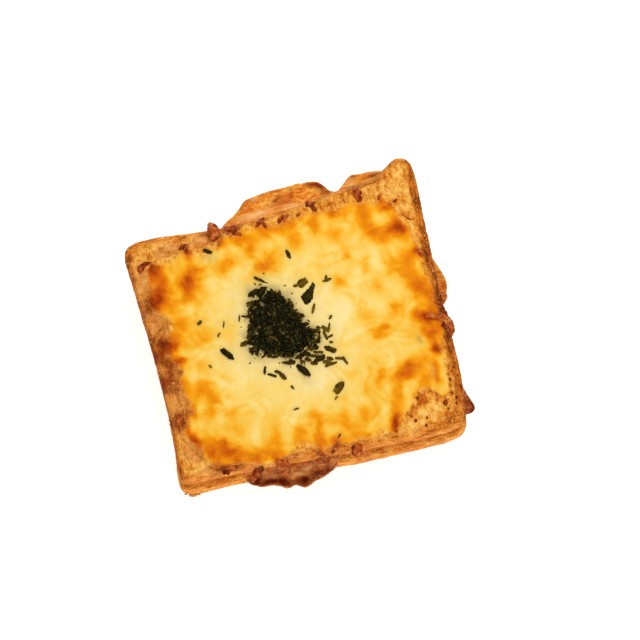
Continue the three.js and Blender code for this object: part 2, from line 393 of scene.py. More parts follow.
@dataclass
class Body:
    """A mesh in the making: places in millimetres, faces and painted values."""

    places: Array
    faces: list[Array]
    marks: dict[str, Array] = field(default_factory=dict)

    @classmethod
    def loft(cls, rings: Array, marks: dict[str, Array]) -> "Body":
        """Close a stack of rings that runs from the middle of the underside to the middle of the top.

        Args:
            rings: Places of shape (rings, points, 3), each ring counterclockwise from above.
            marks: Values of shape (rings, points).

        Returns:
            The closed body.
        """
        count, points = rings.shape[:2]
        poles = np.array([rings[0].mean(0), rings[-1].mean(0)])
        places = np.concatenate([rings.reshape(-1, 3), poles])
        ring, point = np.meshgrid(np.arange(count - 1), np.arange(points), indexing="ij")
        after = (point + 1) % points
        start = ring * points
        above = start + points
        quads = np.stack([start + point, start + after, above + after, above + point], -1)
        around = np.arange(points)
        onward = (around + 1) % points
        last = (count - 1) * points
        pole = np.full(points, count * points)
        caps = [
            np.stack([pole, onward, around], -1),
            np.stack([pole + 1, last + around, last + onward], -1),
        ]
        closed = {
            name: np.concatenate([value.ravel(), [value[0].mean(), value[-1].mean()]])
            for name, value in marks.items()
        }
        return cls(places, [quads.reshape(-1, 4), *caps], closed)

    @classmethod
    def joined(cls, bodies: Sequence["Body"]) -> "Body":
        """Put many bodies into one.

        Args:
            bodies: Bodies with the same marks.

        Returns:
            The joined body.
        """
        starts = np.cumsum([0] + [len(body.places) for body in bodies])
        faces = [face + start for body, start in zip(bodies, starts) for face in body.faces]
        names = bodies[0].marks.keys()
        marks = {name: np.concatenate([body.marks[name] for body in bodies]) for name in names}
        return cls(np.concatenate([body.places for body in bodies]), faces, marks)

    def build(self, name: str, middle: Array) -> bpy.types.Object:
        """Make the object.

        Args:
            name: The object's name.
            middle: Where the places are measured from, in millimetres.

        Returns:
            The object, linked to the scene and riding on the one body.
        """
        mesh = bpy.data.meshes.new(name)
        moved = (self.places + np.array([middle[0], middle[1], 0.0])) * MM
        mesh.vertices.add(len(moved))
        mesh.vertices.foreach_set("co", moved.ravel())
        corners = np.concatenate([face.ravel() for face in self.faces])
        sizes = np.concatenate([np.full(len(face), face.shape[1]) for face in self.faces])
        mesh.loops.add(len(corners))
        mesh.loops.foreach_set("vertex_index", corners)
        mesh.polygons.add(len(sizes))
        mesh.polygons.foreach_set("loop_start", np.concatenate([[0], np.cumsum(sizes)[:-1]]))
        mesh.polygons.foreach_set("use_smooth", np.ones(len(sizes), bool))
        mesh.update(calc_edges=True)
        for mark, values in self.marks.items():
            painted = mesh.attributes.new(mark, "FLOAT", "POINT")
            painted.data.foreach_set("value", values.astype(np.float32))
        made = bpy.data.objects.new(name, mesh)
        bpy.context.scene.collection.objects.link(made)
        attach(made, "root")
        return made


class Wire:
    """A socket that takes part in shader sums."""

    def __init__(self, paint: "Paint", socket: bpy.types.NodeSocket) -> None:
        """Wrap an output socket of a material's nodes."""
        self.paint = paint
        self.socket = socket

    def sum(self, operation: str, *values: "Wire | float | tuple[float, ...]") -> "Wire":
        """Add a Math node, or a Vector Math node where a value is a vector.

        Args:
            operation: The node's operation.
            values: The operands in order.

        Returns:
            The result.
        """
        vector = any(
            isinstance(value, tuple) or (isinstance(value, Wire) and value.socket.type == "VECTOR")
            for value in values
        )
        kind = "ShaderNodeVectorMath" if vector else "ShaderNodeMath"
        made = self.paint.node(kind, {"operation": operation}, dict(enumerate(values)))
        return Wire(self.paint, made.outputs[0])

    def __add__(self, other: "Wire | float") -> "Wire":
        """Add."""
        return self.sum("ADD", self, other)

    def __radd__(self, other: "Wire | float") -> "Wire":
        """Add to a number."""
        return self.sum("ADD", other, self)

    def __sub__(self, other: "Wire | float") -> "Wire":
        """Subtract."""
        return self.sum("SUBTRACT", self, other)

    def __rsub__(self, other: "Wire | float") -> "Wire":
        """Subtract from a number."""
        return self.sum("SUBTRACT", other, self)

    def __mul__(self, other: "Wire | float | tuple[float, ...]") -> "Wire":
        """Multiply."""
        return self.sum("MULTIPLY", self, other)

    def __rmul__(self, other: "Wire | float | tuple[float, ...]") -> "Wire":
        """Multiply a number."""
        return self.sum("MULTIPLY", other, self)

    def size(self) -> "Wire":
        """Drop the sign."""
        return self.sum("ABSOLUTE", self)

    def held(self) -> "Wire":
        """Keep the value between 0 and 1."""
        return self.sum("MINIMUM", self.sum("MAXIMUM", self, 0.0), 1.0)

    def eased(self, start: float, end: float) -> "Wire":
        """Rise smoothly from 0 to 1.

        Args:
            start: The value at which it leaves 0.
            end: The value at which it reaches 1.

        Returns:
            The result.
        """
        ends = {"From Min": start, "From Max": end, "To Min": 0.0, "To Max": 1.0}
        settings = {"interpolation_type": "SMOOTHSTEP"}
        made = self.paint.node("ShaderNodeMapRange", settings, {"Value": self, **ends})
        return Wire(self.paint, made.outputs["Result"])


class Paint:
    """The node tree of one material."""

    def __init__(self, name: str) -> None:
        """Start an empty material.

        Args:
            name: The material's name.
        """
        self.material = bpy.data.materials.new(name)
        self.material.use_nodes = True
        self.tree = self.material.node_tree
        self.tree.nodes.clear()
        coordinates = self.node("ShaderNodeTexCoord", {}, {})
        self.place = Wire(self, coordinates.outputs["Object"]) * (1 / MM, 1 / MM, 1 / MM)

    def node(
        self, kind: str, settings: dict[str, object], values: dict[str | int, object]
    ) -> bpy.types.Node:
        """Add a node.

        Args:
            kind: The node's type.
            settings: Its settings, set first. The setting named stops holds a ramp's colours.
            values: Values or wires for its input sockets, by name or number.

        Returns:
            The node.
        """
        made = self.tree.nodes.new(kind)
        for name, setting in settings.items():
            if name == "stops":
                self.set_stops(made.color_ramp, setting)
            else:
                setattr(made, name, setting)
        for name, value in values.items():
            if isinstance(value, Wire):
                self.tree.links.new(value.socket, made.inputs[name])
            else:
                made.inputs[name].default_value = value
        return made

    @staticmethod
    def set_stops(ramp: bpy.types.ColorRamp, stops: Sequence[tuple[float, Colour]]) -> None:
        """Give a ramp its stops.

        Args:
            ramp: The ramp.
            stops: The position and the colour of each stop.
        """
        for position, _ in stops[2:]:
            ramp.elements.new(position)
        for element, (position, colour) in zip(ramp.elements, stops):
            element.position = position
            element.color = colour

    def mark(self, name: str) -> Wire:
        """Read a value painted on the mesh."""
        made = self.node("ShaderNodeAttribute", {"attribute_name": name}, {})
        return Wire(self, made.outputs["Fac"])

    def noise(
        self, size: float, detail: float = 2.0, stretch: tuple[float, float, float] = (1.0, 1.0, 1.0)
    ) -> Wire:
        """Make soft noise from 0 to 1, of lumps so many mm wide. A stretch under 1 lengthens them."""
        values = {"Vector": self.place * stretch, "Scale": 1 / size, "Detail": detail, "Roughness": 0.55}
        return Wire(self, self.node("ShaderNodeTexNoise", {}, values).outputs[0])

    def specks(self, size: float, stretch: tuple[float, float, float] = (1.0, 1.0, 1.0)) -> Wire:
        """Measure how far the nearest speck is, in cells so many mm wide with one speck each."""
        values = {"Vector": self.place * stretch, "Scale": 1 / size}
        return Wire(self, self.node("ShaderNodeTexVoronoi", {}, values).outputs["Distance"])

    def ramp(self, value: Wire, stops: Sequence[tuple[float, Colour]]) -> Wire:
        """Turn a value into a colour, through stops of a position and a colour."""
        made = self.node("ShaderNodeValToRGB", {"stops": stops}, {"Fac": value})
        return Wire(self, made.outputs["Color"])

    def mix(self, first: Wire | Colour, second: Wire | Colour, share: Wire | float) -> Wire:
        """Mix two colours, of which the second shows as far as the share says."""
        settings, sockets = {"data_type": "RGBA", "clamp_factor": True}, {0: share, 6: first, 7: second}
        return Wire(self, self.node("ShaderNodeMix", settings, sockets).outputs[2])

    def bump(self, height: Wire, depth_mm: float) -> Wire:
        """Raise the normal by a height from 0 to 1, where 1 stands for a depth in millimetres."""
        values = {"Height": height, "Strength": 1.0, "Distance": depth_mm * MM}
        return Wire(self, self.node("ShaderNodeBump", {}, values).outputs[0])

    def finish(self, values: dict[str | int, object]) -> bpy.types.Material:
        """Close the tree with a shader.

        Args:
            values: Values or wires for the shader's sockets.

        Returns:
            The material.
        """
        shader = self.node("ShaderNodeBsdfPrincipled", {}, values)
        surface = Wire(self, shader.outputs[0])
        self.node("ShaderNodeOutputMaterial", {}, {"Surface": surface})
        return self.material

    def food(
        self, colour: Wire, roughness: Wire | float, normal: Wire, gloss: float, sheen: Colour
    ) -> bpy.types.Material:
        """Close the tree as food, whose gloss and sheen are the strength and tint of its reflections."""
        coat = {"Specular IOR Level": gloss, "Specular Tint": sheen}
        return self.finish({"Base Color": colour, "Roughness": roughness, "Normal": normal, **coat})


@dataclass(frozen=True)
class BreadFinish:
    """Toasted crumb, brown crust and the smooth film that sauce leaves on them."""

    name: str = "bread"
    crumb: tuple[Colour, ...] = (srgb(252, 202, 106), srgb(240, 162, 60), srgb(188, 90, 18))
    crust: tuple[Colour, ...] = (srgb(250, 182, 84), srgb(214, 120, 34), srgb(110, 42, 8))
    film: tuple[Colour, ...] = (srgb(248, 184, 106), srgb(218, 136, 58), srgb(138, 54, 12))
    # colour of the painted highlight along the back rim
    rim: Colour = srgb(255, 198, 104)
    # painted shade in pores, pits and crease lines, darker still where they are deepest
    pit_shade: Colour = srgb(190, 96, 26)
    deep_pit_shade: Colour = srgb(84, 30, 4)
    sheen: Colour = srgb(255, 214, 160)
    gloss: float = 0.16

    def colour(self, paint: Paint) -> tuple[Wire, Wire]:
        """Build the bread's colour and relief from the values painted on a mesh.

        Args:
            paint: The node tree of the material that shows bread.

        Returns:
            The colour, and the relief from about 0 to 1.
        """
        crust = paint.mark("crust")
        film = paint.mark("film")
        pit = paint.mark("pit")
        toast = paint.mark("toast")
        sideways = paint.mark("sideways")
        broad = paint.noise(5.0, 3.0)
        fine = paint.noise(0.7, 3.0, (1.0, 0.5, 1.0))
        grain = paint.noise(0.8, 3.0)
        lines = paint.noise(1.0, 3.0, (0.22, 1.0, 1.0))
        lines = lines + sideways * (paint.noise(1.0, 3.0, (1.0, 0.22, 1.0)) - lines)
        folds = paint.noise(2.6, 2.0, (0.3, 1.0, 1.0))
        folds = folds + sideways * (paint.noise(2.6, 2.0, (1.0, 0.3, 1.0)) - folds)
        soft = paint.noise(1.9, 2.0, (1.0, 0.6, 1.0))
        crumbly = (toast + 0.7 * (broad - 0.5) + 1.7 * (soft - 0.5) + 1.3 * (fine - 0.5)).held()
        crumb_colour = paint.ramp(crumbly, list(zip((0.1, 0.5, 0.95), self.crumb)))
        leathery = (toast + 0.7 * (broad - 0.5) + 1.1 * (lines - 0.5) + 1.0 * (grain - 0.5)).held()
        crust_colour = paint.ramp(leathery, list(zip((0.1, 0.5, 0.95), self.crust)))
        colour = paint.mix(crumb_colour, crust_colour, crust)
        smeared = toast + 0.8 * (paint.noise(3.2) - 0.5) + 0.7 * (lines - 0.5)
        smeared = (smeared + 0.6 * (grain - 0.5)).held()
        film_colour = paint.ramp(smeared, list(zip((0.15, 0.5, 0.9), self.film)))
        colour = paint.mix(colour, film_colour, film * 0.9)
        # paint a highlight along the back rim
        colour = paint.mix(colour, self.rim, paint.mark("rim") * grain.eased(0.3, 0.6))
        crease = 1 - (folds - 0.5).size().eased(0.0, 0.026)
        crease = crease * (crust + film * 0.5 + 0.3).held() * paint.noise(4.0, 2.0).eased(0.45, 0.65)
        specks = 1 - paint.specks(1.3, (1.0, 0.6, 1.0)).eased(0.1, 0.28)
        scattered = specks * paint.noise(5.0).eased(0.45, 0.65) * (1 - film)
        # pores, pits, specks and crease lines are darkened with painted shade
        hole_shade = (pit + 0.12 * scattered + 0.34 * crease).held()
        colour = paint.mix(colour, self.pit_shade, hole_shade.eased(0.0, 0.5))
        colour = paint.mix(colour, self.deep_pit_shade, hole_shade.eased(0.4, 1.0) * 0.9)
        relief = fine * 0.25 + lines * 0.5 + grain * 0.25 - scattered * 0.4 - crease * 0.8
        return colour, relief

    def material(self) -> bpy.types.Material:
        """Build the bread's material.

        Returns:
            The material.
        """
        paint = Paint(self.name)
        colour, relief = self.colour(paint)
        roughness = 0.8 - 0.42 * paint.mark("film")
        return paint.food(colour, roughness, paint.bump(relief, 0.4), self.gloss, self.sheen)


@dataclass(frozen=True)
class CheeseFinish:
    """Melted cheese, from cream where it is moist to brown where it has caught."""

    name: str = "melted_cheese"
    stops: tuple[tuple[float, Colour], ...] = (
        (0.0, srgb(253, 229, 156)),
        (0.12, srgb(252, 218, 122)),
        (0.25, srgb(251, 203, 86)),
        (0.36, srgb(250, 186, 54)),
        (0.47, srgb(248, 162, 18)),
        (0.58, srgb(234, 134, 8)),
        (0.7, srgb(212, 98, 8)),
        (0.84, srgb(166, 56, 4)),
        (1.0, srgb(104, 26, 2)),
    )
    # grey of the parsley's stain and of the painted shade round the heap
    herb: Colour = srgb(158, 138, 84)
    sheen: Colour = srgb(255, 196, 110)
    gloss: float = 0.16
    bread: BreadFinish = BreadFinish()

    def material(self) -> bpy.types.Material:
        """Build the cheese's material, through which the bread shows where it thins out.

        Returns:
            The material.
        """
        paint = Paint(self.name)
        roast = paint.mark("roast")
        mottled = roast + 0.13 * (paint.noise(3.0, 3.0) - 0.5) + 0.12 * (paint.noise(0.9, 3.0) - 0.5)
        colour = paint.ramp(mottled.held(), self.stops)
        # the parsley's stain, with painted shade round the heap
        colour = paint.mix(colour, self.herb, paint.mark("herb"))
        below, relief = self.bread.colour(paint)
        worn = (1.25 * paint.mark("thin") + 0.9 * (paint.noise(2.4, 4.0) - 0.5)).eased(0.1, 1.0)
        colour = paint.mix(colour, below, worn)
        strands = paint.noise(2.2, 3.0, (0.45, 1.0, 1.0))
        height = paint.noise(2.4, 2.0) * 0.5 + strands * 0.5 + paint.noise(0.6, 2.0) * 0.15
        height = height + worn * (relief * 1.6 - height)
        roughness = (0.4 + 0.2 * roast + 0.25 * (paint.noise(2.0) - 0.5) + 0.25 * worn).held()
        return paint.food(colour, roughness, paint.bump(height, 0.4), self.gloss, self.sheen)


@dataclass(frozen=True)
class HamFinish:
    """Baked ham, browned where its edge stands free, with painted shade and highlights."""

    name: str
    flesh: tuple[Colour, Colour, Colour]
    # darkest browning, which on the front slice also paints shade into the folds of its edge
    scorch: Colour
    # paler flesh, and painted highlights in streaks, on crests and on the lip
    pale: Colour = srgb(255, 206, 132)
    sheen: Colour = srgb(255, 200, 130)
    gloss: float = 0.18

    def material(self) -> bpy.types.Material:
        """Build the ham's material.

        Returns:
            The material.
        """
        paint = Paint(self.name)
        mottle = paint.noise(3.0, 3.0, (0.4, 1.0, 1.0))
        fine = paint.noise(0.9, 3.0, (0.4, 1.0, 1.0))
        tone = (mottle + 1.2 * (fine - 0.5)).held()
        colour = paint.ramp(tone, list(zip((0.3, 0.5, 0.7), self.flesh)))
        # paler flesh and painted highlights
        colour = paint.mix(colour, self.pale, (paint.mark("pale") + 0.6 * (fine - 0.5)).held())
        browned_and_shaded = (paint.mark("roast") + 0.45 * (paint.noise(1.8, 3.0) - 0.5)).held()
        colour = paint.mix(colour, self.scorch, browned_and_shaded)
        roughness = (0.42 + 0.3 * (fine - 0.5)).held()
        normal = paint.bump(fine * 0.5 + mottle * 0.5, 0.9)
        return paint.food(colour, roughness, normal, self.gloss, self.sheen)


@dataclass(frozen=True)
class ShredFinish:
    """Cheese that has fried into hard brown lumps."""

    name: str = "fried_cheese"
    tones: tuple[Colour, ...] = (srgb(218, 138, 66), srgb(184, 88, 30), srgb(132, 44, 10), srgb(70, 16, 2))
    sheen: Colour = srgb(255, 200, 140)
    gloss: float = 0.2
    roughness: float = 0.42

    def material(self) -> bpy.types.Material:
        """Build the lumps' material.

        Returns:
            The material.
        """
        paint = Paint(self.name)
        tone = paint.mark("roast") + 0.6 * (paint.noise(1.2, 3.0) - 0.5)
        colour = paint.ramp(tone.held(), list(zip((0.1, 0.4, 0.7, 1.0), self.tones)))
        normal = paint.bump(paint.noise(0.9, 2.0), 0.12)
        return paint.food(colour, self.roughness, normal, self.gloss, self.sheen)


@dataclass(frozen=True)
class HerbFinish:
    """Dried parsley, from nearly black through dark green to straw."""

    name: str = "dried_parsley"
    tones: tuple[Colour, ...] = (srgb(9, 10, 4), srgb(42, 46, 27), srgb(102, 80, 28), srgb(170, 148, 92))
    lone: tuple[Colour, ...] = (srgb(16, 16, 4), srgb(50, 41, 8), srgb(112, 82, 10), srgb(184, 146, 66))
    sheen: Colour = srgb(214, 180, 96)
    gloss: float = 0.2
    roughness: float = 0.42

    def material(self) -> bpy.types.Material:
        """Build the parsley's material.

        Returns:
            The material.
        """
        paint = Paint(self.name)
        lone = paint.mark("lone")
        mottled = 0.5 * (paint.noise(0.7, 3.0) - 0.5) + 0.5 * lone * (paint.noise(1.7) - 0.5)
        tone = (paint.mark("tint") + mottled).held()
        heaped = paint.ramp(tone, list(zip((0.05, 0.35, 0.65, 1.0), self.tones)))
        apart = paint.ramp(tone, list(zip((0.05, 0.35, 0.65, 1.0), self.lone)))
        colour = paint.mix(heaped, apart, lone)
        normal = paint.bump(paint.noise(0.4, 2.0), 0.25)
        return paint.food(colour, self.roughness, normal, self.gloss, self.sheen)


@dataclass(frozen=True)
class CrumbFinish:
    """Loose toasted crumbs."""

    name: str = "toast_crumb"
    pale: Colour = srgb(240, 170, 82)
    dark: Colour = srgb(118, 48, 12)
    roughness: float = 0.8

    def material(self) -> bpy.types.Material:
        """Build the crumbs' material.

        Returns:
            The material.
        """
        paint = Paint(self.name)
        tone = (paint.mark("toast") + 0.4 * (paint.noise(0.7, 2.0) - 0.5)).held()
        colour = paint.mix(self.pale, self.dark, tone)
        normal = paint.bump(paint.noise(0.4), 0.15)
        return paint.finish({"Base Color": colour, "Roughness": self.roughness, "Normal": normal})


class SliceRole(Enum):
    """Which slice of the sandwich a slice is."""

    UPPER = "upper"
    LOWER = "lower"


@dataclass(frozen=True)
class Scorch:
    """A soft patch on a face, browned by its heat. A heat under 0 makes the patch paler."""

    x: float
    y: float
    size: float
    heat: float
    stretch: float = 1.0
    turn: float = 0.0

    @classmethod
    def table(cls, *rows: tuple[float, ...]) -> tuple["Scorch", ...]:
        """Make a patch of each row of x, y, size, heat and, unless they are plain, stretch and turn."""
        return tuple(cls(*row) for row in rows)

    def share(self, x: Array, y: Array) -> Array:
        """How strongly the patch shows at places.

        Args:
            x, y: The places.

        Returns:
            1 in the patch's middle, falling to 0 around it.
        """
        angle = math.radians(self.turn)
        along = (x - self.x) * math.cos(angle) + (y - self.y) * math.sin(angle)
        across = (y - self.y) * math.cos(angle) - (x - self.x) * math.sin(angle)
        away = ((along / self.stretch) ** 2 + across**2) / (self.size * self.size)
        return 0.88 * np.exp(-(away**1.2)) + 0.12 * np.exp(-away / 4)

    @staticmethod
    def together(patches: Sequence["Scorch"], x: Array, y: Array, wander: float, seed: int) -> Array:
        """Add patches up, with edges that wander.

        Args:
            patches: The patches.
            x, y: The places.
            wander: How far their edges stray.
            seed: Which way they stray.

        Returns:
            The heat of all patches.
        """
        places = level(x, y)
        moved_x = x + wander * Grain.rough(places, 5.5, 3, seed)
        moved_y = y + wander * Grain.rough(places, 5.5, 3, seed + 1)
        return sum((patch.heat * patch.share(moved_x, moved_y) for patch in patches), np.zeros_like(x))


BREAD_TONES = Scorch.table(
    (-58, 5, 6, 0.24, 1.4, 100),
    (-60, -3, 4, 0.16, 1.4, 90),
    (-60, -12, 3, 0.25),
    (-58, 25, 3.4, 0.25, 1.3, 60),
    (-58, -20, 5, -0.14, 1.6, 90),
    (-59, -28, 3.4, 0.35),
    (-58, 34, 4, -0.1, 1.6, 90),
    (-61, 24, 3, 0.15),
    (-54, -48, 6, -0.1, 1.4, 120),
    (-50, 46, 7, -0.12, 1.6),
    (-50, 52, 5, -0.02, 3.4, 176),
    (-44, -60, 5, -0.1, 3.4),
    (25, -57, 4, -0.3, 3.4),
    (61, -14, 4, 0.25, 3, 90),
    (-30, -55, 3, -0.3, 2),
    (64, 32, 4, 0.22, 4, 90),
    (64, 50, 2.2, 0.3, 4, 88),
    (-28, 38, 5, -0.1),
    (60, 54, 9, -0.1),
    (54, 47, 6, -0.12),
    (59, 32, 4, -0.16, 2, 90),
    (60, 14, 3, 0.1, 1.8, 90),
    (46, -49, 8, -0.26, 1.4, 150),
    (38, -50, 6, -0.1, 1.4, 10),
    (44.5, -45, 2.6, 0.6, 1.3, 60),
    (37.6, -48.6, 1.8, 0.45, 1.6, 70),
    (29.6, -52, 2.2, 0.6, 2.2, 75),
    (61, -50, 3, 0.2, 2, 90),
    (54, -46, 4, 0.08, 1.4, 100),
    (48, 54, 5, 0.22, 2),
    (28, 53, 4, 0.22, 2),
    (-49, -56, 5, 0.1, 1.6, 150),
    (50, -59, 6, 0.12, 2),
    (53, -55, 4, 0.2, 1.4),
    (58, -38, 4, 0.05, 2, 90),
    (34, 51, 10, -0.1, 2),
    (-4, 51, 5, -0.2, 4),
    (-40, 49, 4, -0.12, 2),
    (60, 30, 3, -0.3, 2.4, 90),
    (57, 51, 6, -0.14),
    (-60, 37, 4, -0.22, 1.6, 90),
    (-58, 17, 3.4, -0.14, 1.6, 90),
    (-9, -55, 6, -0.2, 1.6),
    (-22, -58, 5, 0.15, 2),
)


WIDE_PORES = (  # x, y and width of the open pores that show beside the cheese
    (37.5, -50.6, 0.9),
    (38.8, -52.8, 1.2),
    (42.6, -56.0, 1.1),
    (43.8, -52.8, 0.9),
    (42.0, -43.8, 1.3),
    (53.6, -51.3, 0.9),
    (53.0, -48.6, 1.5),
    (57.4, -39.4, 1.4),
    (57.0, -41.8, 0.8),
    (56.8, -45.3, 1.1),
    (58.4, -47.6, 1.3),
    (57.6, -50.0, 1.0),
    (59.4, -49.4, 1.0),
    (60.6, -34.6, 1.2),
    (59.2, -36.2, 0.9),
    (61.2, -38.4, 1.0),
    (58.0, -34.5, 0.8),
    (60.2, -42.4, 0.8),
    (61.0, -45.0, 0.9),
)


@dataclass
class BreadSlice:
    """One slice of the loaf with its crust, toasted faces and pores."""

    layout: Layout
    role: SliceRole
    finish: BreadFinish
    film: "SauceFilm"
    points_round: int = 1000
    fine_width: float = 21.0
    face_step: float = 0.52
    round_top: float = 2.6
    round_base: float = 2.2
    side_steps: int = 20
    core_shares: tuple[float, ...] = (0.86, 0.7, 0.52, 0.34, 0.16)
    seed: int = 5

    @property
    def outline(self) -> Outline:
        """The slice's outline."""
        return self.layout.upper if self.role is SliceRole.UPPER else self.layout.lower

    def heights(self, x: Array, y: Array) -> tuple[Array, Array]:
        """Give the plain underside and top face.

        Args:
            x, y: The places.

        Returns:
            The heights of the underside and of the top face.
        """
        if self.role is SliceRole.LOWER:
            return np.zeros_like(x), np.full_like(x, SLICE_THICKNESS)
        return np.full_like(x, self.layout.upper_base), self.layout.upper_face(x, y)

    def profile(self) -> Array:
        """List the rings from the middle of the underside to the middle of the top.

        Returns:
            Rows of share, inset, height above the underside, share of the side's height, height under
            the top, and the outward and upward parts of the surface's direction. A height that doesn't
            count is not a number.
        """
        none = math.nan
        fine, shares = self.fine_width, self.core_shares
        rows = [(share, fine, 0.0, none, none, 0.0, -1.0) for share in reversed(shares)]
        if self.role is SliceRole.LOWER:
            under = np.arange(fine, self.round_base, -self.face_step * 1.5)
            over = np.array([self.round_top + 1.5, 9.0, 15.0])
        else:
            under = np.array([15.0, 9.0, 5.5, 3.6])
            over = np.arange(self.round_top, fine, self.face_step)[1:]
        rows += [(1.0, inset, 0.0, none, none, 0.0, -1.0) for inset in under]
        for turn in np.linspace(0, math.pi / 2, 7):
            out, down = math.sin(turn), math.cos(turn)
            inset, rise = self.round_base * (1 - out), self.round_base * (1 - down)
            rows.append((1.0, inset, rise, none, none, out, -down))
        for share in np.linspace(0, 1, self.side_steps + 2)[1:-1]:
            rows.append((1.0, 0.0, none, share, none, 1.0, 0.0))
        for turn in np.linspace(0, math.pi / 2, 8):
            out, up = math.cos(turn), math.sin(turn)
            inset, drop = self.round_top * (1 - out), self.round_top * (1 - up)
            rows.append((1.0, inset, none, none, drop, out, up))
        rows += [(1.0, inset, none, none, 0.0, 0.0, 1.0) for inset in over]
        rows += [(share, fine, none, none, 0.0, 0.0, 1.0) for share in shares]
        return np.array(rows)

    def make(self) -> bpy.types.Object:
        """Build and dress the slice.

        Returns:
            The slice's object.
        """
        share, inset, rise, climb, drop, out, up = (column[:, None] for column in self.profile().T)
        angle = self.outline.directions(self.points_round)
        face_x, face_y = self.outline.facing(angle)
        reach, turn = self.outline.reach(angle), ease(inset, 1.0, 5.0)
        x = share * (reach * np.cos(angle) - inset * blend(face_x, np.cos(angle), turn))
        y = share * (reach * np.sin(angle) - inset * blend(face_y, np.sin(angle), turn))
        low, high = self.heights(x, y)
        side = low + blend(self.round_base, (high - low) - self.round_top, climb)
        z = np.where(np.isnan(rise), np.where(np.isnan(climb), high - drop, side), low + rise)
        plain = np.stack([x, y, z], -1)
        up = up * np.ones_like(x)
        marks = self.tones(plain, up)
        crust, film = marks["crust"], marks["film"]
        push = crust * self.leather(plain) - 0.6 * marks["pit"]
        push += (1 - crust) * (1 - film) * 0.16 * Grain.rough(plain, 1.6, 2, self.seed + 21)
        push += film * (0.2 + 0.15 * Grain.smooth(plain, 4.0, self.seed + 31))
        normal = np.stack([out * face_x, out * face_y, up], -1)
        rings = plain + normal * (push * self.settle(x, y, up))[..., None]
        made = Body.loft(rings, marks).build(f"slice_{self.role.value}", self.layout.middle)
        made.data.materials.append(self.finish.material())
        node = "bread_top" if self.role is SliceRole.UPPER else "bread_bottom"
        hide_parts(node)
        return made

    def tones(self, places: Array, up: Array) -> dict[str, Array]:
        """Say how the bread looks at places.

        Args:
            places: Places on the slice.
            up: Upward part of the surface's direction there.

        Returns:
            Painted values from 0 to 1. Sideways is 1 where lines run along Y.
        """
        x, y = places[..., 0], places[..., 1]
        depth = self.outline.depth(x, y)
        facing_x, _ = self.outline.facing(np.arctan2(y, x))
        crust = self.crust(x, y, depth, up)
        film = self.film.share(x, y) * ease(up, 0.2, 0.9) if self.role is SliceRole.UPPER else 0 * x
        # pits and pores are pushed in, and the bread's colour darkens them with painted shade
        crust_pits = Grain.pits(places, 2.0, 0.5, (0.1, 0.36), self.seed + 7)
        pores = np.maximum(self.pores(places, up) * (1 - crust) * (1 - film), 0.66 * crust * crust_pits)
        if self.role is SliceRole.UPPER:
            pores = np.maximum(pores, self.wide_pores(x, y) * ease(up, 0.6, 1.0))
        marks = {
            "crust": crust,
            "film": film,
            "pit": pores,
            "toast": self.toast(places, depth, up),
            # rim is a painted highlight along the back rim
            "rim": self.rim(x, y, depth) * ease(up, 0.2, 0.8),
            "sideways": ease(np.abs(facing_x), 0.6, 0.8),
        }
        return {name: np.clip(value, 0, 1) for name, value in marks.items()}

    @staticmethod
    def wide_pores(x: Array, y: Array) -> Array:
        """The wide pores of the front right corner.

        Args:
            x, y: The places.

        Returns:
            0 between the pores, rising to 1 in the middle of each.
        """
        deepest = np.zeros_like(x)
        for pore_x, pore_y, width in WIDE_PORES:
            away = np.hypot(x - pore_x, (y - pore_y) * 0.8) / width
            deepest = np.maximum(deepest, ease(away, 0.75, 0.3))
        return deepest

    def crust(self, x: Array, y: Array, depth: Array, up: Array) -> Array:
        """Say where the surface is crust.

        Args:
            x, y: The places.
            depth: How far the places lie inside the outline.
            up: Upward part of the surface's direction.

        Returns:
            1 on crust and 0 on crumb.
        """
        places = level(x, y)
        width = 1.4 + 2.2 * ease(x, 30.0, 60.0) + 1.4 * ease(y, -40.0, -56.0)
        width += 2.0 * ease(y, 38.0, 50.0) * ease(x, 10.0, -20.0)
        width -= 1.6 * ease(np.hypot(x - 61, y - 58), 14.0, 6.0)
        width += 0.9 * Grain.rough(places, 6.0, 3, self.seed + 51)
        face = 1 - ease(depth, width - 0.8, width + 1.2)
        return np.maximum(face, ease(np.abs(up), 0.85, 0.5))

    def leather(self, places: Array) -> Array:
        """The crust's relief: broad dents, a fine grain, and grooves along its sides.

        Args:
            places: Places on the slice.

        Returns:
            The rise of the surface.
        """
        broad = 0.26 * Grain.rough(places, 7.0, 3, self.seed)
        fine = 0.16 * Grain.rough(places, 1.5, 2, self.seed + 5)
        return broad + fine + 0.14 * Grain.smooth(places, (6.0, 6.0, 1.3), self.seed + 3)

    def pores(self, places: Array, up: Array) -> Array:
        """The open pores of the crumb, 0 between them and at most 0.26 in the middle of each."""
        streaks = Grain.pits(places, (1.5, 2.9, 3.0), 0.75, (0.18, 0.46), self.seed + 9, flat=True)
        return 0.26 * streaks * ease(np.abs(up), 0.6, 1.0)

    def toast(self, places: Array, depth: Array, up: Array) -> Array:
        """How far the bread has browned, with painted shade along the slice's left edge.

        Args:
            places: Places on the slice.
            depth: How far they lie inside the outline.
            up: Upward part of the surface's direction.

        Returns:
            The browning, from 0 for pale to 1 for dark.
        """
        x, y = places[..., 0], places[..., 1]
        tone = 0.52 + 0.24 * Grain.rough(places, 10.0, 3, self.seed + 41)
        if self.role is SliceRole.LOWER:
            return tone - 0.12 + 0.25 * ease(up, 0.0, -0.8)
        upper = Scorch.together(BREAD_TONES, x, y, 1.2, self.seed + 61) + 0.12 * self.film.singe(x, y)
        upper = upper + 0.45 * BrownedShreds.halo(x, y)
        # painted shade along the slice's left edge
        left_rim_shade = 0.12 * ease(depth, 2.4, 0.4) * ease(x, -56.0, -62.0)
        return tone + ease(up, 0.0, 0.6) * upper + left_rim_shade

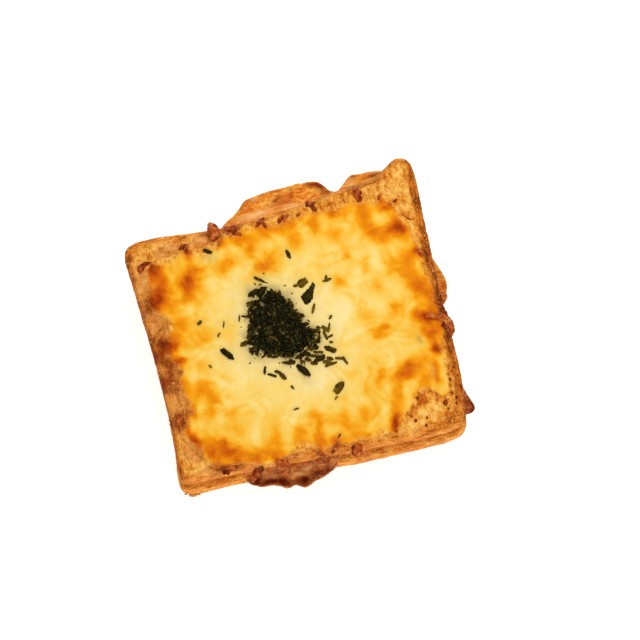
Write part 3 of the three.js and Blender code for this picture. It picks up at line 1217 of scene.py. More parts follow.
    @staticmethod
    def rim(x: Array, y: Array, depth: Array) -> Array:
        """A painted highlight along the back rim, as a line."""
        line = ease(depth, 0.2, 0.9) * ease(depth, 2.2, 1.2)
        return 0.4 * line * ease(y, 44.0, 50.0) * ease(x, 0.0, 30.0) * ease(x, 60.0, 54.0)

    def settle(self, x: Array, y: Array, up: Array) -> Array:
        """Hold back the grain under the cheese, and where the lower slice rests.

        Args:
            x, y: The places.
            up: Upward part of the surface's direction.

        Returns:
            How much of the grain shows.
        """
        if self.role is SliceRole.UPPER:
            covered = ease(self.film.cheese.inside(x, y), -0.5, 2.0) * ease(up, 0.2, 0.8)
            return 1 - covered
        return np.where(up < -0.9, 0.35, 1.0)


SCORCHES = Scorch.table(
    (-38.4, 44.6, 2.6, 0.3, 1.5, 100),
    (28, 44.6, 2.2, 0.22),
    (-24.4, 43.6, 2.2, 0.3, 1.4, 90),
    (-57.4, 24.4, 4.6, 1, 1.25, 35),
    (-52, 31, 4, 0.5),
    (-53, 39, 3.6, 0.74, 1.3, 80),
    (-40, 31, 4, 0.66, 1.2, 60),
    (-43, 24, 3.2, 0.38, 1.8, 75),
    (-35, 35, 3, 0.2, 1.8, 100),
    (-39, 44, 3.6, 0.55),
    (-25, 32, 4, 0.38, 1.3, 30),
    (-19, 38, 3.6, -0.04),
    (-24, 45, 2.4, 0.3, 1.4, 90),
    (-11, 37, 2.8, 0.5, 1.4, 70),
    (-9, 29, 3.4, 0.34),
    (-3, 30, 4, 0.42, 1.3, 80),
    (-15, 42, 2.8, 0.34, 1.5),
    (-3, 43, 4, 0.24, 1.8),
    (8, 37, 3.8, 0.34, 1.5, 95),
    (10, 44, 4, 0.22, 1.6),
    (18, 41, 3, 0.36, 1.5, 90),
    (26, 34, 3.4, 0.32, 1.2, 150),
    (26, 40, 3.6, 0.04),
    (28, 46, 3.6, 0.5, 1.8, 160),
    (29, 26, 2.4, 0.24, 1.4, 60),
    (35, 19, 2.2, 0.24, 1.4, 100),
    (45, 17, 2.8, 0.24, 1.8, 100),
    (34, 37, 3.6, 0.04),
    (40, 42, 3.4, 0.36, 1.6, 90),
    (41, 33, 3.6, 0.34, 1.8, 100),
    (47, 30, 4, 0.34, 1.8),
    (54, 30, 4, 0.7, 1.4, 110),
    (52, 41, 2.8, 0.5, 2, 145),
    (45, 42, 2.6, 0.12, 2),
    (22, 14, 3, 0.34, 1.4, 100),
    (38, 9, 3, 0.26, 1.3, 80),
    (52, 13, 4.6, 0.38, 1.4, 80),
    (58, 18, 2.4, 0.26),
    (56, 2, 4.6, 0.55, 1.5, 110),
    (45, 3, 5, -0.08),
    (60, -6, 3, 0.34, 1.8, 90),
    (43, -4, 3.2, 0.32, 1.2, 45),
    (35, -11, 3.6, 0.38, 1.3, 30),
    (30, -6, 4, 0.1),
    (54, -10, 3.4, 0.5, 1.8, 150),
    (54, -18, 3.8, 0.56),
    (46, -14, 4, 0.12),
    (26, -25, 4, 0.08, 1.6),
    (36, -27, 4, -0.02, 1.5),
    (55, -25, 2.4, 0.9, 1.2, 100),
    (48, -28, 3.4, 0.16, 1.4, 20),
    (42, -31, 3.6, 0.6, 1.4, 10),
    (36, -34, 3.4, 0.44, 1.3, 60),
    (29, -31, 2.6, 0.24, 1.8, 70),
    (24, -34, 3, 0.16, 1.6, 80),
    (47, -38, 3.4, 0.42, 1.5, 70),
    (53, -35, 2, 0.45, 3, 85),
    (33, -41, 2.8, 0.26, 1.5, 90),
    (44, -45, 2.2, 0.8, 1.1),
    (38, -49, 1.6, 0.52, 1.5, 80),
    (30.4, -51, 2.6, 0.7, 2.2, 72),
    (24, -44, 3.6, 0.26),
    (18, -45, 3, 0.33, 1.5, 80),
    (10, -46, 2.8, 0.3, 1.6, 100),
    (14, -52, 3, 0.22, 1.4, 60),
    (18, -55, 1.8, 0.34),
    (5, -44, 3, 0.2),
    (-2, -42, 3.4, 0.3, 1.5, 110),
    (-3, -51, 3.2, 0.46, 1.6, 95),
    (4, -52, 3, 0.28),
    (-11, -47, 3.4, 0.34, 1.6, 100),
    (-20, -46, 2.8, 0.26, 1.3, 90),
    (-27, -51, 4, 0.42, 2, 175),
    (-13, 26, 4, 0.16, 1.5, 20),
    (-36, -50, 3.4, 0.2, 1.8, 160),
    (-45, -43, 3.2, 0.56, 1.6, 150),
    (-40, -47, 3, 0.38, 1.4, 170),
    (-49, -47, 3, 0.52, 1.5, 110),
    (-55, -37, 2.4, 0.75, 2.2, 120),
    (-50, -38, 3.4, 0.12),
    (-45, -35, 3.4, 0.08, 1.4, 90),
    (-36, -38, 3.2, 0.12, 1.8),
    (-54, -24, 3.2, 0.42, 1.2, 90),
    (-52, -30, 3.4, -0.02),
    (-43, -24, 3.2, 0.38, 2, 70),
    (-37, -30, 2.8, 0.2),
    (-46, -17, 3.6, 0.3, 1.4, 60),
    (-53, -15, 3.2, 0.34, 1.4, 90),
    (-43, -8, 3, 0.16),
    (-53, -3, 2.4, 0.58),
    (-59, 5, 4.2, 1.1, 1.6, 110),
    (-53, 6, 3, 0.46, 1.3, 20),
    (-46, 3, 3.4, 0.2, 1.4, 150),
    (-38, 6, 4, 0.3, 1.4, 100),
    (-50, 12, 3.6, 0.3, 1.8),
    (-49, 20, 3.4, 0.26),
    (20, -15, 5, 0.1),
    (-29, 4, 4, 0.16, 1.6, 90),
    (8, -33, 5, 0.08, 1.5),
    (-37, 21, 4.4, 0.2, 1.3, 120),
    (12, 21, 4.4, 0.14, 1.3, 40),
    (30, -3, 6, 0.06),
    (0, -30, 7, -0.12, 1.3),
    (20, 0, 5, -0.1),
    (40, 20, 5, -0.14, 1.2, 60),
    (-46, 37, 4, 0.1, 1.4, 30),
    (-10, -38, 4, -0.1),
    (37, -15, 3, -0.05),
    (-57, 37, 3, 0.2),
    (-36, 38, 3, -0.06),
    (-4, -35, 4, 0.1, 1.5, 20),
    (-29, -35, 4, 0.12, 1.4, 100),
    (-21, -26, 4, 0.09, 1.4, 150),
    (27, 20, 3.4, 0.1, 1.5, 80),
    (44, 11, 3, 0.14, 1.4, 100),
    (20, -21, 4, -0.05),
    (24, 5, 5, -0.05),
    (-34, 18, 4, -0.05),
)


HERB_STAINS = Scorch.table(
    (49.4, -19.4, 1.1, 0.5, 1.9, 105),
    (-29, 38, 2.2, 0.25, 1.3, 120),
    (-2, -24, 2.6, 0.2, 1.6, 120),
)


WORN_PATCHES = Scorch.table(  # where the cheese is only a skin, inside its edge
    (42, -47, 5, 0.25, 1.5, 20),
    (35, -51, 3.4, 0.22),
    (51, -34, 2, 0.4, 2.4, 90),
    (-48, 42, 4, 0.35, 2),
    (-31, 41, 4, 0.45, 1.6),
    (-55, 14, 3, 0.35, 2.4, 90),
    (56, 37, 3, 0.45, 1.6, 120),
    (-56, -20, 2.4, 0.3, 2.4, 90),
    (10, -56, 3, 0.3, 2),
)


@dataclass(frozen=True)
class Spread:
    """How far the cheese has spread over the upper slice, with an edge that strays in and out."""

    plain: Outline
    tongues: tuple[Scorch, ...] = Scorch.table(  # their heat is how far the edge strays out, in mm
        (-57, 25, 4.5, 5),
        (-60, 4, 4.5, 4, 1.6, 90),
        (-50, -47, 4, 4, 1.5, 110),
        (-56, -36, 3, 3.5, 2, 115),
        (-57, -24, 3, 2, 1.6, 90),
        (-54, 40, 3.5, 3, 1.4, 80),
        (-27, -55, 4.5, 5, 2.4),
        (-3, -55, 2.5, 5, 1.8, 90),
        (7, -55, 3, 3.5, 1.6),
        (-41, -51, 3, 4, 1.6, 160),
        (18, -56, 2.5, 3),
        (-10, -54, 3.5, -3, 1.5),
        (29.4, -54, 3, 5, 1.8, 75),
        (37, -47, 2.6, 2.5, 2.2, 80),
        (53, -43, 2, 5, 4, 85),
        (52, 41, 2.5, 3, 2, 135),
        (56, 28, 3, 2.5, 1.6, 100),
        (30, 47, 4, -2.5, 2.4),
        (-30, 46, 5, -3, 1.6),
        (-49, 45, 5, -3.5, 1.8),
        (-37, 44, 2, 3, 1.4, 90),
        (45, -48, 7, -1.5, 1.3, 20),
    )
    drips: tuple[Scorch, ...] = Scorch.table(
        (-27, -55.6, 4, 1, 2.2),
        (-3, -57, 2.2, 1),
        (8, -57.6, 2.6, 0.7, 1.6),
    )

    def over(self, x: Array, y: Array) -> Array:
        """How far the cheese has run over the slice's rim at places."""
        return np.minimum(Scorch.together(self.drips, x, y, 0.8, 65), 1.0)

    def inside(self, x: Array, y: Array) -> Array:
        """How far places lie inside the cheese's edge.

        Args:
            x, y: The places.

        Returns:
            The distance, which is negative where the cheese has not reached.
        """
        places = level(x, y)
        stray = 1.6 + 2.6 * Grain.rough(places, 8.0, 3, 61) + 1.2 * Grain.rough(places, 2.5, 2, 62)
        return self.plain.depth(x, y) + stray + Scorch.together(self.tongues, x, y, 1.5, 63)

    def reach(self, upper: Outline, angle: Array) -> Array:
        """How far the sheet of cheese is made, out to where it has sunk below the bread's face.

        Args:
            upper: The upper slice's outline.
            angle: Directions from the loaf's middle.

        Returns:
            The distances.
        """
        plain, rim = self.plain.reach(angle), upper.reach(angle)
        over = self.over(rim * np.cos(angle), rim * np.sin(angle))
        return np.maximum(np.minimum(plain + 6.0 + over, rim - 0.7 + 1.5 * over), plain)


@dataclass
class CheeseTopping:
    """The melted cheese, thick and blistered inside and as thin as a skin at its uneven edge."""

    layout: Layout
    spread: Spread
    bread: BreadSlice
    finish: CheeseFinish
    points_round: int = 780
    ring_step: float = 0.64
    body: float = 2.3
    edge: float = -0.6
    taper: tuple[float, float] = (-3.5, 6.0)
    cream_middle: tuple[float, float] = (-7.0, 1.0)
    let_in: float = 0.7

    def covered(self, x: Array, y: Array) -> Array:
        """How far places lie inside the cheese's edge, held so that it thins out before the slice's rim.

        Args:
            x, y: The places.

        Returns:
            The distance, which is negative where the cheese has not reached.
        """
        start = 0.8 - 2.8 * self.spread.over(x, y)
        from_rim = 3.0 * (self.layout.upper.depth(x, y) - start) + self.taper[0]
        return np.minimum(self.spread.inside(x, y), from_rim)

    def roast(self, x: Array, y: Array) -> Array:
        """How far the cheese has browned, from 0 for cream to 1 for burnt.

        Args:
            x, y: The places.

        Returns:
            The browning.
        """
        places = level(x, y)
        away = np.hypot(x - self.cream_middle[0], y - self.cream_middle[1])
        colour = 0.03 + 0.14 * ease(away, 12.0, 44.0)
        swirl = [13.0 * Grain.smooth(places, 13.0, seed) for seed in (73, 74)] + [0 * x]
        streaks = Grain.smooth(places + np.stack(swirl, -1), 5.5, 72)
        mottle = 0.12 * Grain.smooth(places, 8.0, 71) + 0.13 * streaks
        colour = colour + mottle * ease(away, 14.0, 34.0)
        colour = colour + 0.16 * ease(self.spread.inside(x, y), 6.0, 0.5)
        colour = colour + self.blisters(x, y) + BrownedShreds.halo(x, y)
        return colour - 0.4 * np.maximum(colour - 0.5, 0.0)

    def blisters(self, x: Array, y: Array) -> Array:
        """The browned patches together."""
        return Scorch.together(SCORCHES, x, y, 2.6, 81)

    def surface(self, x: Array, y: Array) -> Array:
        """Height of the cheese's top face.

        Args:
            x, y: The places.

        Returns:
            The heights.
        """
        places = level(x, y)
        inside = ease(self.covered(x, y), *self.taper)
        bend = 2.0 * Grain.smooth(places, 7.0, 91)
        strands = 1 - np.abs(Grain.smooth(places + bend[..., None], (5.0, 7.0, 4.0), 92)) * 2.2
        lumps = 0.5 * Grain.rough(places, 12.0, 2, 93) + 0.13 * strands
        lumps += 0.06 * Grain.smooth(places, 2.6, 94)
        blister = 0.7 * np.minimum(self.blisters(x, y), 0.7)
        thickness = blend(self.edge, self.body, inside) + (lumps + blister) * ease(inside, 0.3, 0.85)
        return self.layout.upper_face(x, y) + thickness

    def make(self) -> bpy.types.Object:
        """Build and dress the cheese.

        Returns:
            The cheese's object.
        """
        angle = self.layout.upper.directions(self.points_round)
        reach = self.spread.reach(self.layout.upper, angle)
        rings = int(reach.max() / self.ring_step)
        share = np.linspace(0, 1, rings)[1:, None] ** 0.85
        x, y = reach * share * np.cos(angle), reach * share * np.sin(angle)
        over = self.drape(x, y, self.surface(x, y))
        under = self.drape(x, y, self.layout.upper_face(x, y) - self.let_in)
        low = np.searchsorted(share[:, 0], np.array([0.25, 0.6, 0.85, 0.96]))
        shape = [np.stack([x[k], y[k], under[k]], -1) for k in low]
        shape += [np.stack([x[k], y[k], over[k]], -1) for k in reversed(range(len(share)))]
        places = np.stack([x, y, self.layout.upper_face(x, y)], -1)
        worn = Scorch.together(WORN_PATCHES, x, y, 1.5, 83)
        marks = {
            **self.bread.tones(places, np.ones_like(x)),
            "roast": self.roast(x, y),
            "herb": self.herb(x, y),
            "thin": 1 - ease(self.covered(x, y), 0.3, 6.5) + worn,
        }
        stacked = {
            name: np.clip(np.concatenate([value[low], value[::-1]]), 0, 1)
            for name, value in marks.items()
        }
        made = Body.loft(np.array(shape), stacked).build("cheese", self.layout.middle)
        made.data.materials.append(self.finish.material())
        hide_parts("cheese_topping")
        return made

    def drape(self, x: Array, y: Array, height: Array) -> Array:
        """Let the cheese sag where it runs over the crust.

        Args:
            x, y: The places.
            height: Heights on a level slice.

        Returns:
            The sagged heights.
        """
        curve = self.bread.round_top
        beyond = np.clip(curve - self.layout.upper.depth(x, y), 0.0, curve)
        return height - (curve - np.sqrt(curve**2 - beyond**2))

    def herb(self, x: Array, y: Array) -> Array:
        """Where the parsley has stained the cheese, with painted shade in the grey rim round the heap.

        Args:
            x, y: The places.

        Returns:
            The strength of the stain and painted shade.
        """
        places = level(x, y)
        # near is the grey rim round the heap, both stain and painted shadow; wide is a fainter stain
        # further out
        near = ease(self.layout.beside_heap(x, y) + 1.6 * Grain.smooth(places, 4.0, 101), -5.0, 0.5)
        wide = ease(self.layout.beside_heap(x, y) + 3.0 * Grain.smooth(places, 6.0, 102), -13.0, -2.0)
        spots = np.zeros_like(x)
        for sprig in SPRIGS:
            middle_x, middle_y = sprig.middle
            squared = (x - middle_x) ** 2 + (y - middle_y) ** 2
            spots = np.maximum(spots, np.exp(-(squared / (sprig.length / 2 + 0.6) ** 2)))
        return 0.5 * near + 0.1 * wide + 0.16 * spots + Scorch.together(HERB_STAINS, x, y, 0.4, 103)


BACK_BROWNED = Scorch.table(  # where the back slice of ham has browned
    (7.2, 61, 1.5, 0.55, 1.5, 60),
    (4.4, 60.2, 1.2, 0.5, 1.6, 20),
    (13, 62, 1, 0.4, 2, 90),
    (-9.4, 62.2, 1.2, 0.4, 1.6, 30),
    (26, 62.6, 1.8, 0.95, 1.3, 130),
    (22.4, 64.2, 1.2, 0.7, 2.4, 170),
    (28.6, 58.4, 2.2, 0.6, 2.2, 150),
    (9, 58.6, 1, 0.35, 2.4),
    (50, 60.6, 1, 0.9, 3.6, 4),
    (41, 62.5, 2, 0.4),
    (67, 7, 2.4, 0.4, 2.4, 90),
)


BACK_PALE_AND_HIGHLIT = Scorch.table(  # and where it is paler, in streaks that paint highlights along it
    (-5, 56, 1.5, 0.9, 5, 4),
    (12, 55.6, 1.5, 0.6, 3),
    (-3.4, 63.4, 1.3, 0.4, 1.6, 30),
    (39, 60, 2.4, 0.5),
    (52, 62.4, 1.2, 0.6, 2.4),
)


FRONT_BROWNED_AND_SHADED = Scorch.table(  # where the front slice of ham has browned, with painted shade in the folds of its edge
    (-33.4, -58.4, 1.8, 1.2, 1.8, 45),
    (-27, -60.6, 0.9, 1.3, 3, -6),
    (-21.4, -62.4, 1.3, 1.4, 1.7, -40),
    (-13, -63.4, 1.4, 1.5, 1.3, 20),
    (-7, -62, 0.7, 1.1, 4, 12),
    (-1.6, -59.4, 0.9, 0.7, 3, 80),
    (-18.6, -58.6, 0.7, 0.5, 2.6, 80),
    (-4.4, -57.4, 0.8, 0.6, 1.6, 10),
    (64, -50, 6, 0.5),
)


FRONT_PALE_AND_HIGHLIT = Scorch.table(  # and where it is paler, in streaks that paint highlights along its ruffles
    (-10, -59, 1.2, 0.5, 3),
    (-27, -58.4, 1.2, 0.4, 2),
    (-15, -60.6, 0.7, 0.5, 3, 4),
)


@dataclass
class HamSlice:
    """A limp slice of ham whose free edge is ruffled and browned, with painted shade and highlights."""

    layout: Layout
    node: str
    height: float
    finish: HamFinish
    browned_and_shaded: tuple[Scorch, ...]
    pale: tuple[Scorch, ...]
    fold: float
    edge_scorch: float
    edge_span: tuple[float, float]
    seed: int
    points_round: int = 900
    free_step: float = 0.6
    free_width: float = 15.0
    edge_thickness: float = 1.1
    noise_radius: float = 60.0

    @classmethod
    def back(cls, layout: Layout) -> "HamSlice":
        """Describe the slice that stands out at the back and at the right.

        Args:
            layout: The layers' shared measures.

        Returns:
            The slice, ready to be made.
        """
        flesh = (srgb(255, 190, 84), srgb(242, 146, 36), srgb(208, 96, 16))
        return cls(
            layout,
            "ham_back",
            SLICE_THICKNESS + LAYER_GAP,
            HamFinish("back_ham", flesh, srgb(136, 48, 8)),
            BACK_BROWNED,
            BACK_PALE_AND_HIGHLIT,
            fold=0.8,
            edge_scorch=0.14,
            edge_span=(0.68, 0.96),
            seed=301,
        )

    @classmethod
    def front(cls, layout: Layout) -> "HamSlice":
        """Describe the slice that stands out at the front and at the front right corner.

        Args:
            layout: The layers' shared measures.

        Returns:
            The slice, ready to be made.
        """
        flesh = (srgb(232, 150, 80), srgb(200, 108, 48), srgb(146, 60, 20))
        return cls(
            layout,
            "ham_front",
            SLICE_THICKNESS + LAYER_GAP + HAM_THICKNESS + LAYER_GAP,
            HamFinish("front_ham", flesh, srgb(98, 26, 6)),
            FRONT_BROWNED_AND_SHADED,
            FRONT_PALE_AND_HIGHLIT,
            fold=1.5,
            edge_scorch=0.5,
            edge_span=(0.7, 0.9),
            seed=401,
        )

    def make(self) -> bpy.types.Object:
        """Build and dress the slice of ham.

        Returns:
            The ham's object.
        """
        outline = Outline.of_node(self.node, self.layout.middle, 3)
        angle = outline.directions(self.points_round)
        around = level(self.noise_radius * np.cos(angle), self.noise_radius * np.sin(angle))
        bread = np.minimum(self.layout.upper.reach(angle), self.layout.lower.reach(angle))
        reach = outline.reach(angle)
        held = np.minimum(reach, bread) - 1.5
        loose = ease(reach - held, 2.0, 5.0)
        reach = reach + loose * (0.5 * Grain.rough(around, 3.0, 2, self.seed) + 0.1)
        insets = np.arange(self.free_width, 0.3, -self.free_step)[:, None]
        shares = np.array([0.2, 0.45, 0.7, 0.9])[:, None]
        radius = np.concatenate([shares * (reach - self.free_width), reach - insets])
        free = np.clip((radius - held) / (reach - held), 0, 1)
        sag = ease(free, 0.0, 1.0) * (outline.rim(angle) - (self.height + HAM_THICKNESS / 2)) * loose
        x, y = radius * np.cos(angle), radius * np.sin(angle)
        places = level(x, y)
        crinkle = self.fold * Grain.smooth(places, 6.5, self.seed + 1)
        crinkle += 0.4 * self.fold * Grain.smooth(places, 2.6, self.seed + 2)
        middle = self.height + HAM_THICKNESS / 2 + sag + ease(free, 0.0, 0.6) * loose * crinkle
        half = blend(HAM_THICKNESS, self.edge_thickness, free * loose) / 2
        rim_x, rim_y = reach * np.cos(angle), reach * np.sin(angle)
        under = np.stack([x, y, middle - half], -1)
        over = np.stack([x, y, middle + half], -1)
        rim = np.stack([rim_x, rim_y, middle[-1:]], -1)
        rings = np.concatenate([under, rim, over[::-1]])
        body = Body.loft(rings, self.tones(rings, loose, free))
        made = body.build(f"{self.node}_slice", self.layout.middle)
        made.data.materials.append(self.finish.material())
        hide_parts(self.node)
        return made

    def tones(self, rings: Array, loose: Array, free: Array) -> dict[str, Array]:
        """Brown the free edge and the patches, which also paints shade into the front edge's folds, and
        paint highlights on the crests, the lip and the pale patches.

        Args:
            rings: The ham's rings.
            loose: Where the ham stands free, for each direction.
            free: How far out each ring of a face lies on the free part.

        Returns:
            The painted values.
        """
        x, y = rings[..., 0], rings[..., 1]
        outward = np.concatenate([free, np.ones_like(free[:1]), free[::-1]])
        places = level(x, y)
        ragged = 0.16 * Grain.smooth(places, 3.6, self.seed + 9)
        # painted highlights in lines along the ruffles' crests, where the browning is held back
        crest_highlights = ease(Grain.smooth(places, (6.0, 1.3, 4.0), self.seed + 10), 0.05, 0.5)
        # the free edge is browned, and on the front slice this also paints shade into its folds
        edge = loose * self.edge_scorch * ease(outward + ragged, *self.edge_span) * (1 - 0.6 * crest_highlights)
        # the outermost edge is painted lighter, a highlight on the lit lip
        edge = edge * (1 - 0.5 * ease(outward, 0.9, 1.0))
        lit_lip = loose * ease(outward, 0.93, 1.0)
        roast = (edge + Scorch.together(self.browned_and_shaded, x, y, 1.0, self.seed + 5)) * (1 - 0.5 * lit_lip)
        pale = Scorch.together(self.pale, x, y, 1.0, self.seed + 7) + 0.2 * lit_lip
        return {"roast": np.clip(roast, 0, 1), "pale": np.clip(pale, 0, 1)}


@dataclass(frozen=True)
class Shred:
    """A browned shred of cheese, as a rope through points of x, y and rise above the surface."""

    points: tuple[tuple[float, float, float], ...]
    width: float
    roast: float = 0.7
    flatness: float = 0.55


SHREDS = (
    Shred(((-24.6, 46.4, 0.4), (-24.9, 49.2, 1.4), (-25.3, 51.6, 1.8)), 4.8, 0.54, 0.7),
    Shred(((-27.0, 48.6, 0.0), (-26.4, 46.6, 0.2)), 2.4, 0.8),
    Shred(((-19.4, 49.8, 0.3), (-17.0, 47.6, 0.8), (-14.4, 44.8, 0.3)), 2.6, 0.7),
    Shred(((-20.0, 47.8, 0.2), (-17.6, 45.8, 0.4)), 2.0, 0.5),
    Shred(((-17.4, 49.6, 0.3), (-15.0, 47.6, 0.5)), 1.6, 0.85),
    Shred(((-5.6, 46.8, 0.3), (-3.8, 48.2, 0.8), (-2.2, 49.6, 0.3)), 2.2, 0.8),
    Shred(((-3.8, 49.6, 0.2), (-2.6, 45.6, 0.4)), 2.0, 0.75),
    Shred(((3.8, 46.0, 0.3), (5.2, 47.6, 0.7), (6.4, 48.6, 0.3)), 1.8, 0.75),
    Shred(((6.0, 45.8, 0.3), (8.2, 48.2, 0.5)), 1.6, 0.6),
    Shred(((12.0, 46.8, 0.2), (13.0, 47.2, 0.3)), 1.3, 0.85),
    Shred(((17.6, 52.0, 0.4), (19.0, 50.2, 0.8), (20.8, 47.0, 0.3)), 2.0, 0.8),
    Shred(((17.0, 50.2, 0.2), (20.6, 50.8, 0.4)), 1.5, 0.85),
    Shred(((39.4, 53.0, 0.0), (39.8, 50.4, 1.0), (40.0, 47.4, 0.4)), 3.2, 0.65),
    Shred(((41.2, 52.2, -0.2), (41.0, 49.0, 0.4)), 2.0, 0.35),
    Shred(((49.8, 47.6, 0.1), (48.5, 46.0, 0.2), (48.9, 43.8, 0.1)), 0.9, 0.75),
    Shred(((54.0, 42.4, 0.1), (56.2, 43.6, 0.2)), 1.1, 0.8),
    Shred(((55.8, 36.4, 0.1), (57.8, 34.4, 0.2), (60.0, 32.9, 0.1)), 0.9, 0.75),
    Shred(((-61.0, 38.8, 0.0), (-58.8, 40.8, 0.3), (-56.0, 42.0, 0.1)), 3.4, 0.8, 0.35),
    Shred(((-40.2, 46.4, 0.0), (-38.4, 45.0, 0.1)), 3.0, 0.75, 0.3),
    Shred(((-38.6, 46.4, 0.0), (-37.0, 45.4, 0.1)), 1.6, 0.6, 0.4),
    Shred(((58.4, 18.8, 0.0), (59.8, 17.2, 0.4), (60.0, 15.8, 0.0)), 2.6, 0.6),
    Shred(((63.6, -1.6, -1.2), (64.6, -3.4, -1.0), (63.6, -5.2, -1.2)), 3.0, 0.45),
    Shred(((61.6, -6.0, 0.0), (62.8, -8.4, -0.4)), 2.4, 0.85),
    Shred(((62.8, -9.0, -1.0), (63.6, -11.4, -1.2)), 2.2, 0.5),
    Shred(
        (
            (56.0, -10.6, 0.3),
            (60.0, -12.4, 1.0),
            (63.2, -14.0, 0.6),
            (64.2, -16.8, -0.8),
            (63.4, -20.2, -3.0),
        ),
        3.2,
        0.5,
    ),
    Shred(((60.4, -16.4, 0.2), (62.4, -16.2, 0.0)), 2.0, 0.95),
    Shred(((-60.6, -12.0, 0.1), (-58.0, -11.2, 0.3), (-55.6, -11.8, 0.1)), 1.2, 0.45),
    Shred(((-62.0, -10.0, -0.2), (-61.4, -12.0, -0.1)), 2.2, 0.8),
    Shred(((-58.2, -26.6, 0.0), (-58.8, -29.4, 0.0)), 2.8, 0.6, 0.4),
    Shred(((-45.6, -53.4, 0.1), (-44.4, -54.8, 0.2)), 2.4, 0.95),
    Shred(((-43.0, -52.6, 0.1), (-40.4, -52.8, 0.2)), 2.6, 0.55),
    Shred(((-30.6, -56.6, 0.3), (-32.6, -58.0, 0.2), (-34.2, -59.8, -1.4)), 3.4, 0.74, 0.42),
    Shred(((-22.4, -55.4, 0.3), (-21.2, -57.8, 0.4)), 3.0, 0.58, 0.42),
    Shred(((-19.8, -55.4, 0.1), (-18.8, -57.2, 0.0)), 2.2, 0.5),
    Shred(((-4.0, -56.6, 0.3), (-3.4, -58.6, 0.2), (-3.0, -60.4, -1.2)), 2.0, 0.75),
    Shred(((-6.2, -59.0, -0.2), (-4.4, -58.4, 0.0)), 1.4, 0.7),
    Shred(((1.8, -56.4, 0.2), (3.0, -55.2, 0.5), (4.0, -54.0, 0.3)), 2.2, 0.62),
    Shred(((1.0, -57.2, 0.0), (2.2, -56.0, 0.2)), 1.6, 0.9),
    Shred(((10.6, -58.6, 0.1), (12.6, -59.2, 0.3)), 5.8, 0.56, 0.5),
    Shred(((10.0, -57.4, 0.1), (9.5, -60.0, -0.3)), 2.0, 0.8),
    Shred(((13.6, -61.0, -2.6), (16.0, -61.4, -2.8)), 2.6, 0.35),
    Shred(((53.2, -46.6, 0.0), (53.0, -49.2, 0.1)), 1.5, 0.7),
    Shred(((29.8, -53.0, 0.0), (29.2, -55.4, 0.0)), 1.8, 0.65, 0.5),
)


@dataclass
class BrownedShreds:
    """Lumps, spikes and drips of cheese that have fried hard."""

    layout: Layout
    surface: Callable[[Array, Array], Array]
    finish: ShredFinish
    stations: int = 34
    sides: int = 22

    def make(self) -> bpy.types.Object:
        """Build and dress all shreds as one piece.

        Returns:
            The shreds' object.
        """
        bodies = [self.rope(shred, number) for number, shred in enumerate(SHREDS)]
        made = Body.joined(bodies).build("browned_shreds", self.layout.middle)
        made.data.materials.append(self.finish.material())
        return made

    @staticmethod
    def halo(x: Array, y: Array) -> Array:
        """How far the shreds have browned the cheese that they stick to.

        Args:
            x, y: The places.

        Returns:
            The browning round the shreds.
        """
        near, wide = np.zeros_like(x), np.zeros_like(x)
        for shred in SHREDS:
            for spot_x, spot_y, _ in shred.points:
                away = np.hypot(x - spot_x, y - spot_y)
                near = np.maximum(near, shred.roast * np.exp(-((away / (0.6 * shred.width + 0.3)) ** 2)))
                wide = np.maximum(wide, np.exp(-((away / (1.0 * shred.width + 1.4)) ** 2)))
        return 0.3 * near + 0.22 * wide

    def rope(self, shred: Shred, number: int) -> Body:
        """Build one shred.

        Args:
            shred: The shred's course and width.
            number: Its place in the list, which seeds its lumps.

        Returns:
            The shred's body.
        """
        course = np.array(shred.points)
        rise = course[:, 2] - 0.3
        course[:, 2] = self.surface(course[:, 0], course[:, 1]) + rise
        knots = np.linspace(0, 1, len(course))
        reach = 0.5 * shred.width / max(np.linalg.norm(course[-1] - course[0]), shred.width)
        spread = -0.5 * np.cos(np.linspace(0, math.pi, self.stations))
        along = np.interp(spread, (-0.5, 0.5), (-reach, 1 + reach))
        middle = np.stack([self.through(knots, course[:, axis], along) for axis in range(3)], -1)
        heading = np.gradient(middle, axis=0)
        heading /= np.linalg.norm(heading, axis=1)[:, None]
        across = np.cross(heading, np.array([0.0, 0.0, 1.0]))
        across /= np.linalg.norm(across, axis=1)[:, None]
        upward = np.cross(across, heading)
        round_end = np.sqrt(np.clip(1 - np.abs(2 * spread) ** 1.9, 0.0, 1.0)) * 0.98 + 0.02
        turn = np.linspace(0, 2 * math.pi, self.sides, endpoint=False)
        radius = 0.5 * shred.width * round_end[:, None]
        rings = (
            middle[:, None]
            + across[:, None] * (radius * np.cos(turn))[..., None]
            + upward[:, None] * (radius * shred.flatness * np.sin(turn))[..., None]
        )
        broad = Grain.rough(rings + 7.0 * number, shred.width * 0.8, 2, 111 + number)
        wrinkle = Grain.smooth(rings + 7.0 * number, max(0.3 * shred.width, 0.6), 151 + number)
        outward = rings - middle[:, None]
        rings = rings + outward * (0.9 * broad + 0.2 * wrinkle)[..., None]
        # each shred is painted lighter on top and darker underneath, and lighter on its bulges than in its
        # dents: painted light and shade
        tone = shred.roast + 0.36 * Grain.smooth(rings, 1.5, 131) - 0.12 * np.sin(turn) - 0.15 * wrinkle
        return Body.loft(rings, {"roast": np.clip(tone, 0, 1)})

    @staticmethod
    def through(knots: Array, values: Array, along: Array) -> Array:
        """Follow values smoothly, and straight on beyond both ends.

        Args:
            knots: Where the values stand, from 0 to 1.
            values: The values.
            along: Where to read them.

        Returns:
            The values at those places.
        """
        fitted = np.polyfit(knots, values, min(len(knots) - 1, 3))
        inside = np.clip(along, 0.0, 1.0)
        slope = np.polyval(np.polyder(fitted), inside)
        return np.polyval(fitted, inside) + (along - inside) * slope


class HerbShape(Enum):
    """What a bit of parsley is."""

    LEAF = "leaf"
    STEM = "stem"


